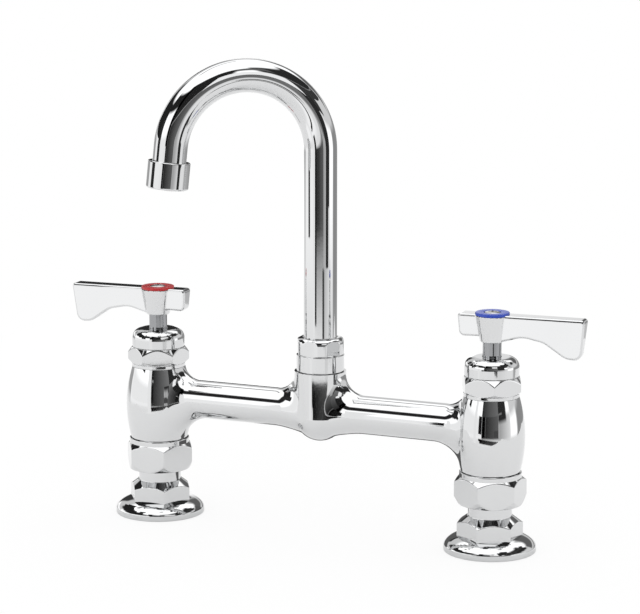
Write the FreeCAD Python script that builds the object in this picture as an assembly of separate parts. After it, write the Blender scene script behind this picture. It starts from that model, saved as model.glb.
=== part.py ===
import FreeCAD, Part
import math
import os

os.makedirs("parts", exist_ok=True)
V = FreeCAD.Vector

# Deck-mount bridge faucet with a swivelling gooseneck and two quarter-turn lever valves.
# X runs along the bridge towards the cold valve, -Y faces the user, Z is up.
# The origin is on the deck, midway between the two inlets. Lengths in mm, angles in degrees.

# Clearances
run_gap = 0.05        # radial, shaft in its bearing
thread_gap = 0.05     # radial, male in female thread
face_gap = 0.1        # between faces that slide over each other
seat_gap = 0.4        # shoulder that stays open over a tightened nut
loose_gap = 0.2       # radial, washers, shoulders and screw shanks in their bores
seal_gap = 0.01       # radial, rubber against the bore that it seals

# Building allowances
bite = 0.2            # a fused form reaches this far into its neighbour
over = 1.0            # a cutter reaches this far past the face that it cuts

# Inlets and feet
inlet_centres = 203.2
inlet_thread_d = 19.0
inlet_depth = 13.0
flange_d = 50.8
flange_rim_h = 3.2
flange_dome_h = 5.8
flange_bulge = 1.2
flange_bulge_share = 0.62
flange_dome_inset = 0.6
foot_hex_af = 31.8
foot_hex_h = 10.7
foot_chamfer_high = 1.9
foot_mouth_d = 25.2
foot_cap_h = 2.5
foot_land_h = 1.0
gasket_d_in = 27.0
gasket_d_out = 42.0
gasket_h = 1.5

# Tailpieces and union nuts
neck_d = 24.1
neck_show = 6.8
spigot_d = 21.0
waterway_d = 13.0
tail_flange_d = 27.6
tail_flange_h = 3.0
union_washer_h = 1.8
union_af = 34.9
union_h = 15.5
union_chamfer_low = 4.4
union_chamfer_high = 2.8
union_lip_h = 3.0
union_collar_d = 34.2
union_collar_h = 2.6
union_thread_d = 28.4

# Legs of the bridge, barrel shaped
leg_h = 41.4
leg_foot_d = 32.6
leg_belly_d = 37.2
leg_belly_rise = 16.0
leg_top_d = 30.5

# Arms and centre boss
arm_d = 21.6
arm_rise = 24.0
arm_bore_d = 13.0
arm_blend_top = 10.5
arm_blend_low = 15.5
barrel_spare = 8.0      # the barrel is drawn this much longer at each end, and then cut to length
boss_d = 29.0
boss_rise = 23.0
boss_drop = 17.0
boss_blend_top = 11.5
boss_blend_low = 20.0
chamber_d = 17.6
chamber_drop = 10.0

# Valve cavity in each leg
cavity_thread_d = 25.4
cavity_d = 26.0
cavity_depth = 30.4
cavity_thread_l = 8.0
thread_runout = 0.4

# Bonnets
bonnet_collar_d = 30.6
bonnet_collar_h = 2.0
bonnet_hex_af = 30.3
bonnet_hex_h = 9.3
bonnet_chamfer_low = 1.9
bonnet_chamfer_high = 3.2
bonnet_band_d = 30.0
bonnet_band_h = 5.2
bonnet_dome_h = 5.4
bonnet_flat_d = 18.6
sleeve_d = 20.8
sleeve_wall = 1.8
window_h = 8.0
window_w = 9.0
journal_l = 17.0
seal_groove_w = 2.0
seal_groove_depth = 1.2
seal_slack = 0.2
hex_inset = 1.0

# Stems, discs and seals
stem_d = 10.2
stem_show = 8.2
stem_shoulder_h = 2.6
stem_neck_d = 9.0
stem_foot_h = 3.0
broach_af = 8.4
broach_l = 10.6
o_ring_section = 1.5
o_ring_pitch = 5.0
thrust_h = 0.5
ring_groove_share = 1.2
seat_seal_h = 4.4
disc_h = 3.3
disc_port_r = 5.9
disc_web = 3.0
drive_lug_w = 2.4
drive_lug_h = 1.2
drive_lug_inset = 0.6
key_w = 3.0
key_depth = 1.2
seal_proud = 0.6

# Lever handles
hub_top_d = 18.8
hub_low_d = 13.2
hub_h = 15.4
hub_chamfer = 0.8
blade_reach = 52.2
blade_lean = 2.2
blade_top_w = 9.4
blade_root_w = 10.0
blade_low_w = 5.0
blade_depth = 22.4
knee_from_end = 10.6
knee_r = 10.0
sweep_from_end = 23.0
sweep_depth = 14.0
sweep_r = 14.0
arch_u = 17.5
arch_depth = 11.6
arch_r = 14.0
arch_foot_h = 0.3
tail_reach = 18.5
tail_depth = 12.7
tail_lean = 0.8
tail_slope_h = 0.4
blade_corner = 1.8
tip_corner = 4.6
tail_corner = 3.0
blade_under = 1.0
blade_edge_round = 1.2
ring_d = 18.7
ring_h = 1.6
ring_proud = 1.0
ring_hole_d = 9.4
ring_soft = 0.35
screw_head_d = 9.0
screw_head_h = 2.0
screw_rim_share = 0.55
screw_crown = 0.25
screw_d = 4.8
screw_l = 14.0
screw_recess_w = 1.1
screw_recess_l = 4.2
screw_recess_depth = 1.2
screw_recess_turn = 20.0
hot_lever_deg = 183.6
cold_lever_deg = 3.85

# Gooseneck spout
tube_d = 18.5
tube_wall = 1.0
bend_r = 42.0
bend_deg = 174.0
spring_z = 215.8
spout_deg = -141.5
outlet_run = 8.0
outlet_thread_l = 6.0

# Swivel joint at the foot of the spout
ferrule_d = 20.8
ferrule_bore_d = 12.4
ferrule_tail = 13.6
ferrule_socket = 14.0
ferrule_flange_d = 23.6
ferrule_flange_h = 2.4
neck_thread_d = 24.4
neck_thread_l = 12.0
bearing_h = 0.8
skirt_d = 26.7
swivel_round_d = 27.0
skirt_h = 9.2
swivel_af = 25.4
swivel_hex_h = 6.6
swivel_dome_h = 3.2
swivel_dome_flat_d = 21.0
swivel_step = 0.7
bearing_slack = 0.1
spout_ring_section = 1.8
spout_ring_pitch = 5.2

# Aerator
aerator_d = 23.2
aerator_h = 15.0
aerator_bore_d = 20.4
aerator_lip = 1.0
aerator_mouth_d = 18.8
aerator_chamfer = 0.7
aerator_round = 2.0
aerator_gasket_h = 1.4
aerator_gasket_lip = 0.5
insert_h = 5.6
insert_wall = 1.0
insert_hole_d = 1.8
insert_hole_pitch = 3.0
insert_face_h = 1.2
insert_rings = (1, 6, 12)

# Turn of each hexagon about its own axis, to a corner
union_turn = {"hot": 3.8, "cold": 30.2}
foot_turn = {"hot": 4.4, "cold": 27.9}
bonnet_turn = {"hot": 25.0, "cold": 55.3}
swivel_turn = 57.5

# Heights above the deck that follow from the sizes
foot_hex_z = flange_rim_h + flange_dome_h
foot_top_z = foot_hex_z + foot_hex_h
foot_cap_z = foot_top_z - foot_cap_h
spigot_pocket_z = inlet_depth + foot_land_h
union_z = foot_top_z + neck_show
tail_flange_z = union_z + union_lip_h
washer_z = tail_flange_z + tail_flange_h
leg_tail_z = washer_z + union_washer_h
collar_z = union_z + union_h
leg_z = collar_z + union_collar_h + seat_gap
leg_top_z = leg_z + leg_h
arm_z = leg_z + arm_rise
boss_top_z = arm_z + boss_rise
cavity_floor_z = leg_top_z - cavity_depth
bonnet_hex_z = leg_top_z + bonnet_collar_h
bonnet_band_z = bonnet_hex_z + bonnet_hex_h
bonnet_dome_z = bonnet_band_z + bonnet_band_h
bonnet_top_z = bonnet_dome_z + bonnet_dome_h
journal_z = bonnet_top_z - journal_l
hub_z = bonnet_top_z + stem_show
hub_top_z = hub_z + hub_h
sleeve_end_z = cavity_floor_z + seal_proud
lower_disc_z = cavity_floor_z + seat_seal_h
upper_disc_z = lower_disc_z + disc_h
stem_foot_z = upper_disc_z + disc_h
window_z = stem_foot_z + stem_foot_h
shoulder_top_z = journal_z - thrust_h - face_gap
neck_top_z = boss_top_z + neck_thread_l
ferrule_flange_z = neck_top_z + face_gap
ferrule_top_z = ferrule_flange_z + ferrule_flange_h
ferrule_end_z = boss_top_z - ferrule_tail
tube_foot_z = ferrule_top_z - ferrule_socket
bearing_z = ferrule_top_z
swivel_shoulder_z = bearing_z + bearing_h + face_gap
swivel_z = boss_top_z + seat_gap / 2
swivel_hex_z = swivel_z + skirt_h
swivel_dome_z = swivel_hex_z + swivel_hex_h
swivel_top_z = swivel_dome_z + swivel_dome_h

# Radii that follow from the sizes
sleeve_bore_r = sleeve_d / 2 - sleeve_wall
disc_r = sleeve_bore_r - thread_gap * 2
stem_r = stem_d / 2
tube_r = tube_d / 2
half_centres = inlet_centres / 2
sides = {"hot": -half_centres, "cold": half_centres}

# Share of a rounded corner's radius by which its middle lies inside the corner, along each side
diag = 1 - math.sqrt(0.5)


# Plane face in the XZ plane. A step is an end point (x, z), or a pair of a middle and an end
# point for an arc.
def section(start, *steps):
    edges = []
    here = V(start[0], 0, start[1])
    for step in steps:
        if isinstance(step[0], tuple):
            middle = V(step[0][0], 0, step[0][1])
            end = V(step[1][0], 0, step[1][1])
            edges.append(Part.Arc(here, middle, end).toShape())
        else:
            end = V(step[0], 0, step[1])
            edges.append(Part.makeLine(here, end))
        here = end
    first = V(start[0], 0, start[1])
    if here.distanceToPoint(first) > 1e-6:
        edges.append(Part.makeLine(here, first))
    return Part.Face(Part.Wire(edges))


# Closed outline in the XZ plane from corners (x, z, radius), each rounded by a tangent arc
def rounded(*corners):
    edges = []
    here = None
    first = None
    for i, (x, z, radius) in enumerate(corners):
        corner = V(x, 0, z)
        back = V(corners[i - 1][0], 0, corners[i - 1][1]) - corner
        ahead = V(corners[(i + 1) % len(corners)][0], 0, corners[(i + 1) % len(corners)][1]) - corner
        half = back.getAngle(ahead) / 2
        back.normalize()
        ahead.normalize()
        start = corner + back * (radius / math.tan(half))
        end = corner + ahead * (radius / math.tan(half))
        if here is not None:
            edges.append(Part.makeLine(here, start))
        if radius > 0:
            inward = back + ahead
            inward.normalize()
            middle = corner + inward * (radius / math.sin(half) - radius)
            edges.append(Part.Arc(start, middle, end).toShape())
        here = end
        first = start if first is None else first
    edges.append(Part.makeLine(here, first))
    return Part.Face(Part.Wire(edges))


def turned(start, *steps):
    return section(start, *steps).revolve(V(0, 0, 0), V(0, 0, 1), 360)


def rod(d, z_low, z_high):
    return Part.makeCylinder(d / 2, z_high - z_low, V(0, 0, z_low))


def ring(d_in, d_out, z_low, z_high):
    return rod(d_out, z_low, z_high).cut(rod(d_in, z_low - over, z_high + over))


def block(x_low, x_high, y_low, y_high, z_low, z_high):
    size = (x_high - x_low, y_high - y_low, z_high - z_low)
    return Part.makeBox(size[0], size[1], size[2], V(x_low, y_low, z_low))


def prism(across_flats, sides_count, z_low, z_high, corner_deg):
    radius = across_flats / 2 / math.cos(math.pi / sides_count)
    corners = []
    for i in range(sides_count + 1):
        angle = math.radians(corner_deg + i * 360 / sides_count)
        corners.append(V(radius * math.cos(angle), radius * math.sin(angle), z_low))
    return Part.Face(Part.makePolygon(corners)).extrude(V(0, 0, z_high - z_low))


# Hexagon whose corners are turned off at both ends, as a nut's are
def nut_hex(across_flats, z_low, z_high, corner_deg, chamfer_low, chamfer_high):
    flat_r = across_flats / 2
    corner_r = flat_r / math.cos(math.pi / 6)
    out_r = corner_r + over
    reach = (out_r - flat_r) / (corner_r - flat_r)
    low = z_low + chamfer_low * reach
    high = z_high - chamfer_high * reach
    if low < high:
        form = turned((0, z_low), (flat_r, z_low), (out_r, low), (out_r, high), (flat_r, z_high), (0, z_high))
    else:
        share = chamfer_low / (chamfer_low + chamfer_high)
        middle = z_low + (z_high - z_low) * share
        peak_r = flat_r + (middle - z_low) / chamfer_low * (corner_r - flat_r)
        form = turned((0, z_low), (flat_r, z_low), (peak_r, middle), (flat_r, z_high), (0, z_high))
    return prism(across_flats, 6, z_low, z_high, corner_deg).common(form)


def o_ring(centre_r, section_d, z):
    circle = Part.Face(Part.Wire(Part.makeCircle(section_d / 2, V(centre_r, 0, z), V(0, 1, 0))))
    return circle.revolve(V(0, 0, 0), V(0, 0, 1), 360)


def one_solid(shape):
    clean = shape.removeSplitter()
    return clean.Solids[0] if len(clean.Solids) == 1 else clean


nodes = {}


def keep(name, shape, x=0.0, turn=0.0):
    placed = shape.copy()
    placed.rotate(V(0, 0, 0), V(0, 0, 1), turn)
    placed.translate(V(x, 0, 0))
    nodes[name] = placed


# Foot: round flange, domed up to a hexagon, with a female thread for the supply below
def make_foot(corner_deg):
    rim_r = flange_d / 2
    hex_r = foot_hex_af / 2
    mid_r = (rim_r + hex_r) / 2 + flange_bulge
    mid_z = flange_rim_h + flange_dome_h * flange_bulge_share
    dome_z = foot_hex_z + bite
    plate = turned((0, 0), (rim_r, 0), (rim_r, flange_rim_h),
                   ((mid_r, mid_z), (hex_r - flange_dome_inset, dome_z)), (0, dome_z))
    hexagon = nut_hex(foot_hex_af, flange_rim_h, foot_cap_z, corner_deg, 0, foot_chamfer_high)
    cap_r = hex_r - bite
    cap = turned((0, foot_cap_z - foot_chamfer_high), (cap_r, foot_cap_z - foot_chamfer_high),
                 (cap_r, foot_cap_z - bite), (foot_mouth_d / 2, foot_top_z), (0, foot_top_z))
    foot = plate.fuse(hexagon).fuse(cap)
    foot = foot.cut(rod(inlet_thread_d, -over, inlet_depth))
    foot = foot.cut(rod(waterway_d, -over, foot_top_z + over))
    foot = foot.cut(rod(spigot_d + 2 * thread_gap, spigot_pocket_z, foot_top_z + over))
    foot = foot.cut(ring(gasket_d_in, gasket_d_out, -over, gasket_h))
    return one_solid(foot)


# Tailpiece: flange held up by the union nut, bare neck, and a spigot screwed into the foot
def make_tailpiece():
    bore_r = waterway_d / 2
    spigot_end = spigot_pocket_z + face_gap
    return turned((bore_r, spigot_end), (spigot_d / 2, spigot_end), (spigot_d / 2, foot_top_z),
                  (neck_d / 2, foot_top_z), (neck_d / 2, tail_flange_z), (tail_flange_d / 2, tail_flange_z),
                  (tail_flange_d / 2, washer_z), (bore_r, washer_z))


# Union nut: hexagon with deep turned corners, round collar on top, lip under the tailpiece flange
def make_union_nut(corner_deg):
    nut = nut_hex(union_af, union_z, collar_z, corner_deg, union_chamfer_low, union_chamfer_high)
    top = collar_z + union_collar_h
    nut = nut.fuse(rod(union_collar_d, collar_z - union_chamfer_high, top))
    nut = nut.cut(rod(neck_d + 2 * run_gap, union_z - over, tail_flange_z + over))
    nut = nut.cut(rod(union_thread_d, tail_flange_z, top + over))
    return one_solid(nut)


# Barrel leg: one arc through the foot, belly and top, drawn on past both ends
def make_barrel():
    foot = V(leg_foot_d / 2, 0, leg_z)
    belly = V(leg_belly_d / 2, 0, leg_z + leg_belly_rise)
    top = V(leg_top_d / 2, 0, leg_top_z)
    circle = Part.Circle(foot, belly, top)
    low = leg_z - barrel_spare
    high = leg_top_z + barrel_spare
    low_r = circle.Center.x + math.sqrt(circle.Radius ** 2 - (low - circle.Center.z) ** 2)
    high_r = circle.Center.x + math.sqrt(circle.Radius ** 2 - (high - circle.Center.z) ** 2)
    return turned((0, low), (low_r, low), ((belly.x, belly.z), (high_r, high)), (0, high))


# One quarter of the casting, front half of the cold side, blended where arm meets leg and boss
def body_quarter():
    leg = make_barrel()
    leg.translate(V(half_centres, 0, 0))
    boss_r = boss_d / 2
    ball_z = arm_z - boss_drop + boss_r
    boss = rod(boss_d, ball_z, boss_top_z).fuse(Part.makeSphere(boss_r, V(0, 0, ball_z)))
    arm = Part.makeCylinder(arm_d / 2, half_centres, V(0, 0, arm_z), V(1, 0, 0))
    solid = leg.fuse(boss.removeSplitter()).fuse(arm)
    far = inlet_centres
    solid = solid.common(block(0, far, -far, 0, -far, far))
    solid = blend(solid, arm_blend_top, arm_blend_low, arm_edges(solid, boss_r + bite, half_centres)[0])
    solid = blend(solid, boss_blend_top, boss_blend_low, arm_edges(solid, over, boss_r + over)[0])
    trims = block(half_centres / 2, far, -far, over, leg_top_z, far)
    return solid.cut(trims.fuse(block(half_centres / 2, far, -far, over, -far, leg_z)))


# Fillet that changes evenly from its top radius to its low radius along an edge
def blend(solid, top_radius, low_radius, edge):
    if edge.Vertexes[0].Point.z > edge.Vertexes[-1].Point.z:
        return solid.makeFillet(top_radius, low_radius, [edge])
    return solid.makeFillet(low_radius, top_radius, [edge])


# Edges that run down the arm's front from its top to its underside, between two distances
# from the middle
def arm_edges(solid, x_low, x_high):
    found = []
    for edge in solid.Edges:
        if edge.Degenerated or edge.Length < arm_d / 2:
            continue
        points = edge.discretize(32)
        xs = [point.x for point in points]
        zs = [point.z for point in points]
        inside = min(xs) > x_low and max(xs) < x_high
        crosses = max(xs) - min(xs) > bite and max(zs) - min(zs) > arm_d / 2
        on_arm = all(abs(math.hypot(point.y, point.z - arm_z) - arm_d / 2) < run_gap for point in points)
        if inside and crosses and on_arm:
            found.append(edge)
    return found


# Casting with its waterways: inlet up each leg, seat and valve cavity, arms to the centre chamber
def make_bridge_body():
    quarter = body_quarter()
    half = quarter.fuse(quarter.mirror(V(0, 0, 0), V(0, 1, 0)))
    body = half.fuse(half.mirror(V(0, 0, 0), V(1, 0, 0))).removeSplitter()
    body = body.fuse(rod(neck_thread_d, boss_top_z - over, neck_top_z))
    for x in sides.values():
        tail = rod(union_thread_d - 2 * thread_gap, leg_tail_z, leg_z + over)
        tail.translate(V(x, 0, 0))
        body = body.fuse(tail)
    body = body.removeSplitter()
    for x in sides.values():
        hollow = rod(cavity_thread_d, leg_top_z - cavity_thread_l, leg_top_z + over)
        hollow = hollow.fuse(rod(cavity_d, cavity_floor_z, leg_top_z - cavity_thread_l))
        hollow = hollow.fuse(rod(waterway_d, leg_tail_z - over, cavity_floor_z + over))
        hollow.translate(V(x, 0, 0))
        body = body.cut(hollow)
    bore_start = V(-half_centres + cavity_d / 2, 0, arm_z)
    body = body.cut(Part.makeCylinder(arm_bore_d / 2, inlet_centres - cavity_d, bore_start, V(1, 0, 0)))
    bearing = rod(ferrule_d + 2 * run_gap, ferrule_end_z - face_gap, neck_top_z + over)
    chamber = rod(chamber_d, arm_z - chamber_drop, ferrule_end_z)
    return one_solid(body.cut(bearing.fuse(chamber)))


# Bonnet: dome, band, hexagon, collar, thread, and a windowed sleeve that holds the discs
def make_bonnet(corner_deg):
    band_r = bonnet_band_d / 2
    flat_r = bonnet_flat_d / 2
    thread_r = cavity_thread_d / 2 - thread_gap
    groove_r = thread_r - seal_groove_depth
    groove_z = leg_top_z - seal_groove_w
    thread_end = leg_top_z - cavity_thread_l + thread_runout
    bend = math.radians(45)
    mid = (flat_r + (band_r - flat_r) * math.sin(bend), bonnet_dome_z + bonnet_dome_h * math.cos(bend))
    outside = turned((0, sleeve_end_z), (sleeve_d / 2, sleeve_end_z), (sleeve_d / 2, thread_end),
                     (thread_r, thread_end), (thread_r, groove_z), (groove_r, groove_z),
                     (groove_r, leg_top_z), (bonnet_collar_d / 2, leg_top_z),
                     (bonnet_collar_d / 2, bonnet_hex_z), (band_r - hex_inset, bonnet_hex_z),
                     (band_r - hex_inset, bonnet_band_z),
                     (band_r, bonnet_band_z), (band_r, bonnet_dome_z), (mid, (flat_r, bonnet_top_z)),
                     (0, bonnet_top_z))
    hexagon = nut_hex(bonnet_hex_af, bonnet_hex_z, bonnet_band_z, corner_deg, bonnet_chamfer_low,
                      bonnet_chamfer_high)
    bonnet = outside.fuse(hexagon)
    bonnet = bonnet.cut(rod(stem_d + 2 * run_gap, journal_z - over, bonnet_top_z + over))
    bonnet = bonnet.cut(rod(2 * sleeve_bore_r, sleeve_end_z - over, journal_z))
    window = block(-sleeve_d, sleeve_d, -window_w / 2, window_w / 2, window_z, window_z + window_h)
    bonnet = bonnet.cut(window)
    keyway = block(-key_w / 2, key_w / 2, -sleeve_d, sleeve_d, sleeve_end_z - over, lower_disc_z + disc_h)
    return one_solid(bonnet.cut(keyway))


# Stem: broached head for the handle, journal with two ring grooves, shoulder, neck and driving foot
def make_stem():
    head_z = hub_z + broach_l
    shoulder_r = sleeve_bore_r - loose_gap
    groove_r = stem_r - o_ring_section
    low_ring, high_ring = ring_heights()
    half = o_ring_section * ring_groove_share / 2
    neck_r = stem_neck_d / 2
    shoulder_z = shoulder_top_z - stem_shoulder_h
    stem = turned((0, stem_foot_z), (disc_r, stem_foot_z), (disc_r, stem_foot_z + stem_foot_h),
                  (neck_r, stem_foot_z + stem_foot_h), (neck_r, shoulder_z),
                  (shoulder_r, shoulder_z), (shoulder_r, shoulder_top_z),
                  (stem_r, shoulder_top_z), (stem_r, low_ring - half), (groove_r, low_ring - half),
                  (groove_r, low_ring + half), (stem_r, low_ring + half), (stem_r, high_ring - half),
                  (groove_r, high_ring - half), (groove_r, high_ring + half), (stem_r, high_ring + half),
                  (stem_r, hub_z), (0, hub_z))
    stem = stem.fuse(prism(broach_af, 8, hub_z - over, head_z, 0))
    stem = stem.cut(rod(screw_d + 2 * thread_gap, head_z - screw_l, head_z + over))
    foot_end = stem_foot_z + stem_foot_h + over
    port = sector(disc_port_r, disc_web, stem_foot_z - over, foot_end)
    stem = stem.cut(port.cut(rod(stem_neck_d, stem_foot_z - 2 * over, foot_end + over)))
    return one_solid(stem.fuse(drive_lugs(0)))


def ring_heights():
    middle = (journal_z + bonnet_top_z) / 2
    return middle - o_ring_pitch / 2, middle + o_ring_pitch / 2


# Two lugs across a disc's rim, which turn the upper disc with the stem
def drive_lugs(gap):
    half = drive_lug_w / 2 + gap
    low = stem_foot_z - drive_lug_h - gap
    bar = block(-half, half, -disc_r - over, disc_r + over, low, stem_foot_z + bite)
    inner_d = 2 * (disc_port_r + drive_lug_inset - gap)
    return bar.common(ring(inner_d, 2 * disc_r, low - over, stem_foot_z + bite))


# Pair of half-moon ports with a web between them
def sector(radius, web, z_low, z_high):
    hole = rod(2 * radius, z_low, z_high)
    return hole.cut(block(-radius - over, radius + over, -web / 2, web / 2, z_low - over, z_high + over))


def make_upper_disc():
    disc = rod(2 * disc_r, upper_disc_z, stem_foot_z)
    disc = disc.cut(sector(disc_port_r, disc_web, upper_disc_z - over, stem_foot_z + over))
    slot = drive_lugs(run_gap)
    return one_solid(disc.cut(slot.fuse(slot.translated(V(0, 0, bite)))))


# The fixed disc has its ports square to the upper disc's, so that the valve rests shut
def make_lower_disc():
    disc = rod(2 * disc_r, lower_disc_z, upper_disc_z)
    keys = block(-key_w / 2 + run_gap, key_w / 2 - run_gap, -disc_r - key_depth, disc_r + key_depth,
                 lower_disc_z, upper_disc_z)
    ports = sector(disc_port_r, disc_web, lower_disc_z - over, upper_disc_z + over)
    ports.rotate(V(0, 0, 0), V(0, 0, 1), 90)
    return one_solid(disc.fuse(keys).cut(ports))


# Lever outline in its own plane, x along the blade and z up
def blade_outline():
    top = hub_top_z
    low = top - blade_depth
    tail_low = top - tail_depth
    inside_hub = hub_low_d / 2 - over
    arch_foot_z = hub_z + arch_foot_h
    return rounded(
        (-tail_reach, top, blade_corner), (blade_reach, top, blade_corner),
        (blade_reach - blade_lean, low, tip_corner), (blade_reach - knee_from_end, low, knee_r),
        (blade_reach - sweep_from_end, top - sweep_depth, sweep_r), (arch_u, top - arch_depth, arch_r),
        (inside_hub, arch_foot_z, 0), (-inside_hub, arch_foot_z, 0),
        (-inside_hub, tail_low + tail_slope_h, 0), (-tail_reach + tail_lean, tail_low, tail_corner))


# Handle: tapered hub on the broached stem, long blade with a wide top, and a short tail
def make_handle():
    low_half = blade_low_w / 2
    floor_z = hub_top_z - blade_depth - blade_under
    wires = []
    for x, half in ((-tail_reach - over, blade_root_w / 2), (blade_reach + over, blade_top_w / 2)):
        wires.append(Part.makePolygon([V(x, -half, hub_top_z), V(x, half, hub_top_z), V(x, low_half, floor_z),
                                       V(x, -low_half, floor_z), V(x, -half, hub_top_z)]))
    taper = Part.makeLoft(wires, True, True)
    blank = blade_outline().extrude(V(0, 2 * blade_root_w, 0))
    blank.translate(V(0, -blade_root_w, 0))
    blade = blank.common(taper)
    blade = blade.makeFillet(blade_edge_round, long_edges(blade))
    hub = turned((0, hub_z), (hub_low_d / 2 - hub_chamfer, hub_z), (hub_low_d / 2, hub_z + hub_chamfer),
                 (hub_top_d / 2, hub_top_z), (0, hub_top_z))
    handle = blade.fuse(hub)
    recess_z = hub_top_z - (ring_h - ring_proud)
    handle = handle.cut(rod(ring_d + 2 * face_gap, recess_z, hub_top_z + over))
    handle = handle.cut(prism(broach_af + 2 * thread_gap, 8, hub_z - over, hub_z + broach_l + face_gap, 0))
    return one_solid(handle.cut(rod(screw_d + 2 * loose_gap, hub_z, hub_top_z + over)))


# Edges that run round both faces of the blade
def long_edges(blade):
    found = []
    for edge in blade.Edges:
        box = edge.BoundBox
        if abs(box.YMin) > bite and abs(box.YMax) > bite and box.YMin * box.YMax > 0:
            found.append(edge)
    return found


def make_index_ring():
    low = hub_top_z - (ring_h - ring_proud)
    high = low + ring_h
    r = ring_d / 2
    hole = ring_hole_d / 2
    return turned((hole, low), (r, low), (r, high - ring_soft), (r - ring_soft, high), (hole, high))


# Screw with an oval head and a crossed recess
def make_screw():
    low = hub_top_z - (ring_h - ring_proud)
    rim = low + screw_head_h * screw_rim_share
    top = low + screw_head_h
    head_r = screw_head_d / 2
    tip = low - screw_l + over
    screw = turned((0, tip), (screw_d / 2, tip), (screw_d / 2, low), (head_r, low), (head_r, rim),
                   ((head_r * screw_rim_share, top - screw_crown), (0, top)))
    for turn in (0, 90):
        slot = block(-screw_recess_l / 2, screw_recess_l / 2, -screw_recess_w / 2, screw_recess_w / 2,
                     top - screw_recess_depth, top + over)
        slot.rotate(V(0, 0, 0), V(0, 0, 1), turn + screw_recess_turn)
        screw = screw.cut(slot)
    return one_solid(screw)


# Direction of the tube's axis where it leaves the bend, in the spout's own plane
def outlet_frame():
    angle = math.radians(bend_deg)
    end = V(bend_r - bend_r * math.cos(angle), 0, spring_z + bend_r * math.sin(angle))
    return end, V(math.sin(angle), 0, math.cos(angle))


def pipe(d):
    end, along = outlet_frame()
    run = outlet_run + outlet_thread_l
    disc = Part.Face(Part.Wire(Part.makeCircle(d / 2, V(0, 0, spring_z), V(0, 0, 1))))
    riser = rod(d, tube_foot_z, spring_z)
    bend = disc.revolve(V(bend_r, 0, spring_z), V(0, 1, 0), bend_deg)
    outlet = Part.makeCylinder(d / 2, run, end, along)
    return riser, bend, outlet


# Gooseneck: riser, bend and a short straight outlet, drawn along X and then turned to its place
def make_spout_tube():
    outer = pipe(tube_d)
    inner = pipe(tube_d - 2 * tube_wall)
    spans = []
    for solid, hole in zip(outer, inner):
        spans.append(solid.cut(hole))
    return one_solid(spans[0].fuse(spans[1]).fuse(spans[2]))


# Ferrule: socket round the tube's foot, flange under the nut, and a journal with two ring grooves
def make_ferrule():
    r = ferrule_d / 2
    groove_r = r - spout_ring_section
    half = spout_ring_section * ring_groove_share / 2
    low, high = spout_ring_heights()
    return turned((ferrule_bore_d / 2, ferrule_end_z), (r, ferrule_end_z), (r, low - half),
                  (groove_r, low - half), (groove_r, low + half), (r, low + half), (r, high - half),
                  (groove_r, high - half),
                  (groove_r, high + half), (r, high + half), (r, ferrule_flange_z),
                  (ferrule_flange_d / 2, ferrule_flange_z), (ferrule_flange_d / 2, ferrule_top_z),
                  (tube_r, ferrule_top_z), (tube_r, tube_foot_z), (ferrule_bore_d / 2, tube_foot_z))


def spout_ring_heights():
    middle = (ferrule_end_z + tube_foot_z) / 2
    return middle - spout_ring_pitch / 2, middle + spout_ring_pitch / 2


# Swivel nut: round skirt, six flats cut on a round body, and a domed top
def make_swivel_nut():
    round_r = swivel_round_d / 2
    flat_r = swivel_dome_flat_d / 2
    bend = math.radians(45)
    mid = (flat_r + (round_r - flat_r) * math.sin(bend), swivel_dome_z + swivel_dome_h * math.cos(bend))
    body = turned((0, swivel_hex_z), (skirt_d / 2 - swivel_step, swivel_hex_z),
                  (round_r, swivel_hex_z + swivel_step), (round_r, swivel_dome_z),
                  (mid, (flat_r, swivel_top_z)), (0, swivel_top_z))
    body = body.common(prism(swivel_af, 6, swivel_hex_z, swivel_top_z, swivel_turn))
    nut = rod(skirt_d, swivel_z, swivel_hex_z).fuse(body)
    nut = nut.cut(rod(neck_thread_d + 2 * thread_gap, swivel_z - over, swivel_shoulder_z))
    return one_solid(nut.cut(rod(tube_d + 2 * bearing_slack, swivel_z, swivel_top_z + over)))


# Aerator pieces are drawn upright with the outlet run's end at zero, and then hung on the spout
def make_aerator_housing():
    r = aerator_d / 2
    low = -aerator_h
    c = aerator_chamfer
    e = aerator_round
    bore_r = aerator_bore_d / 2
    mouth_r = aerator_mouth_d / 2
    thread_r = tube_r + thread_gap
    thread_end = -outlet_thread_l + loose_gap
    return turned((thread_r, 0), (r - c, 0), (r, -c), (r, low + e),
                  ((r - e * diag, low + e * diag), (r - e, low)), (mouth_r, low),
                  (mouth_r, low + aerator_lip), (bore_r, low + aerator_lip), (bore_r, thread_end),
                  (thread_r, thread_end))


def make_aerator_gasket():
    top = -outlet_thread_l
    inner_d = tube_d - 2 * tube_wall - 2 * aerator_gasket_lip
    return ring(inner_d, aerator_bore_d - 2 * thread_gap, top - aerator_gasket_h, top)


# Insert: plastic cup whose lower face is drilled in rings round a centre hole
def make_aerator_insert():
    top = -outlet_thread_l - aerator_gasket_h
    low = -aerator_h + aerator_lip
    r = aerator_bore_d / 2 - thread_gap
    bottom = max(low, top - insert_h)
    cup = rod(2 * r, bottom, top).cut(rod(2 * (r - insert_wall), bottom + insert_face_h, top + over))
    for level, count in enumerate(insert_rings):
        out = level * insert_hole_pitch
        for i in range(count):
            angle = 2 * math.pi * i / count
            hole = rod(insert_hole_d, bottom - over, top + over)
            hole.translate(V(out * math.cos(angle), out * math.sin(angle), 0))
            cup = cup.cut(hole)
    return one_solid(cup)


# Hang a piece drawn upright at the end of the outlet run, in the spout's own plane
def hang(shape):
    end, along = outlet_frame()
    hung = shape.copy()
    hung.rotate(V(0, 0, 0), V(0, 1, 0), bend_deg - 180)
    hung.translate(end + along * outlet_run)
    return hung


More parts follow.
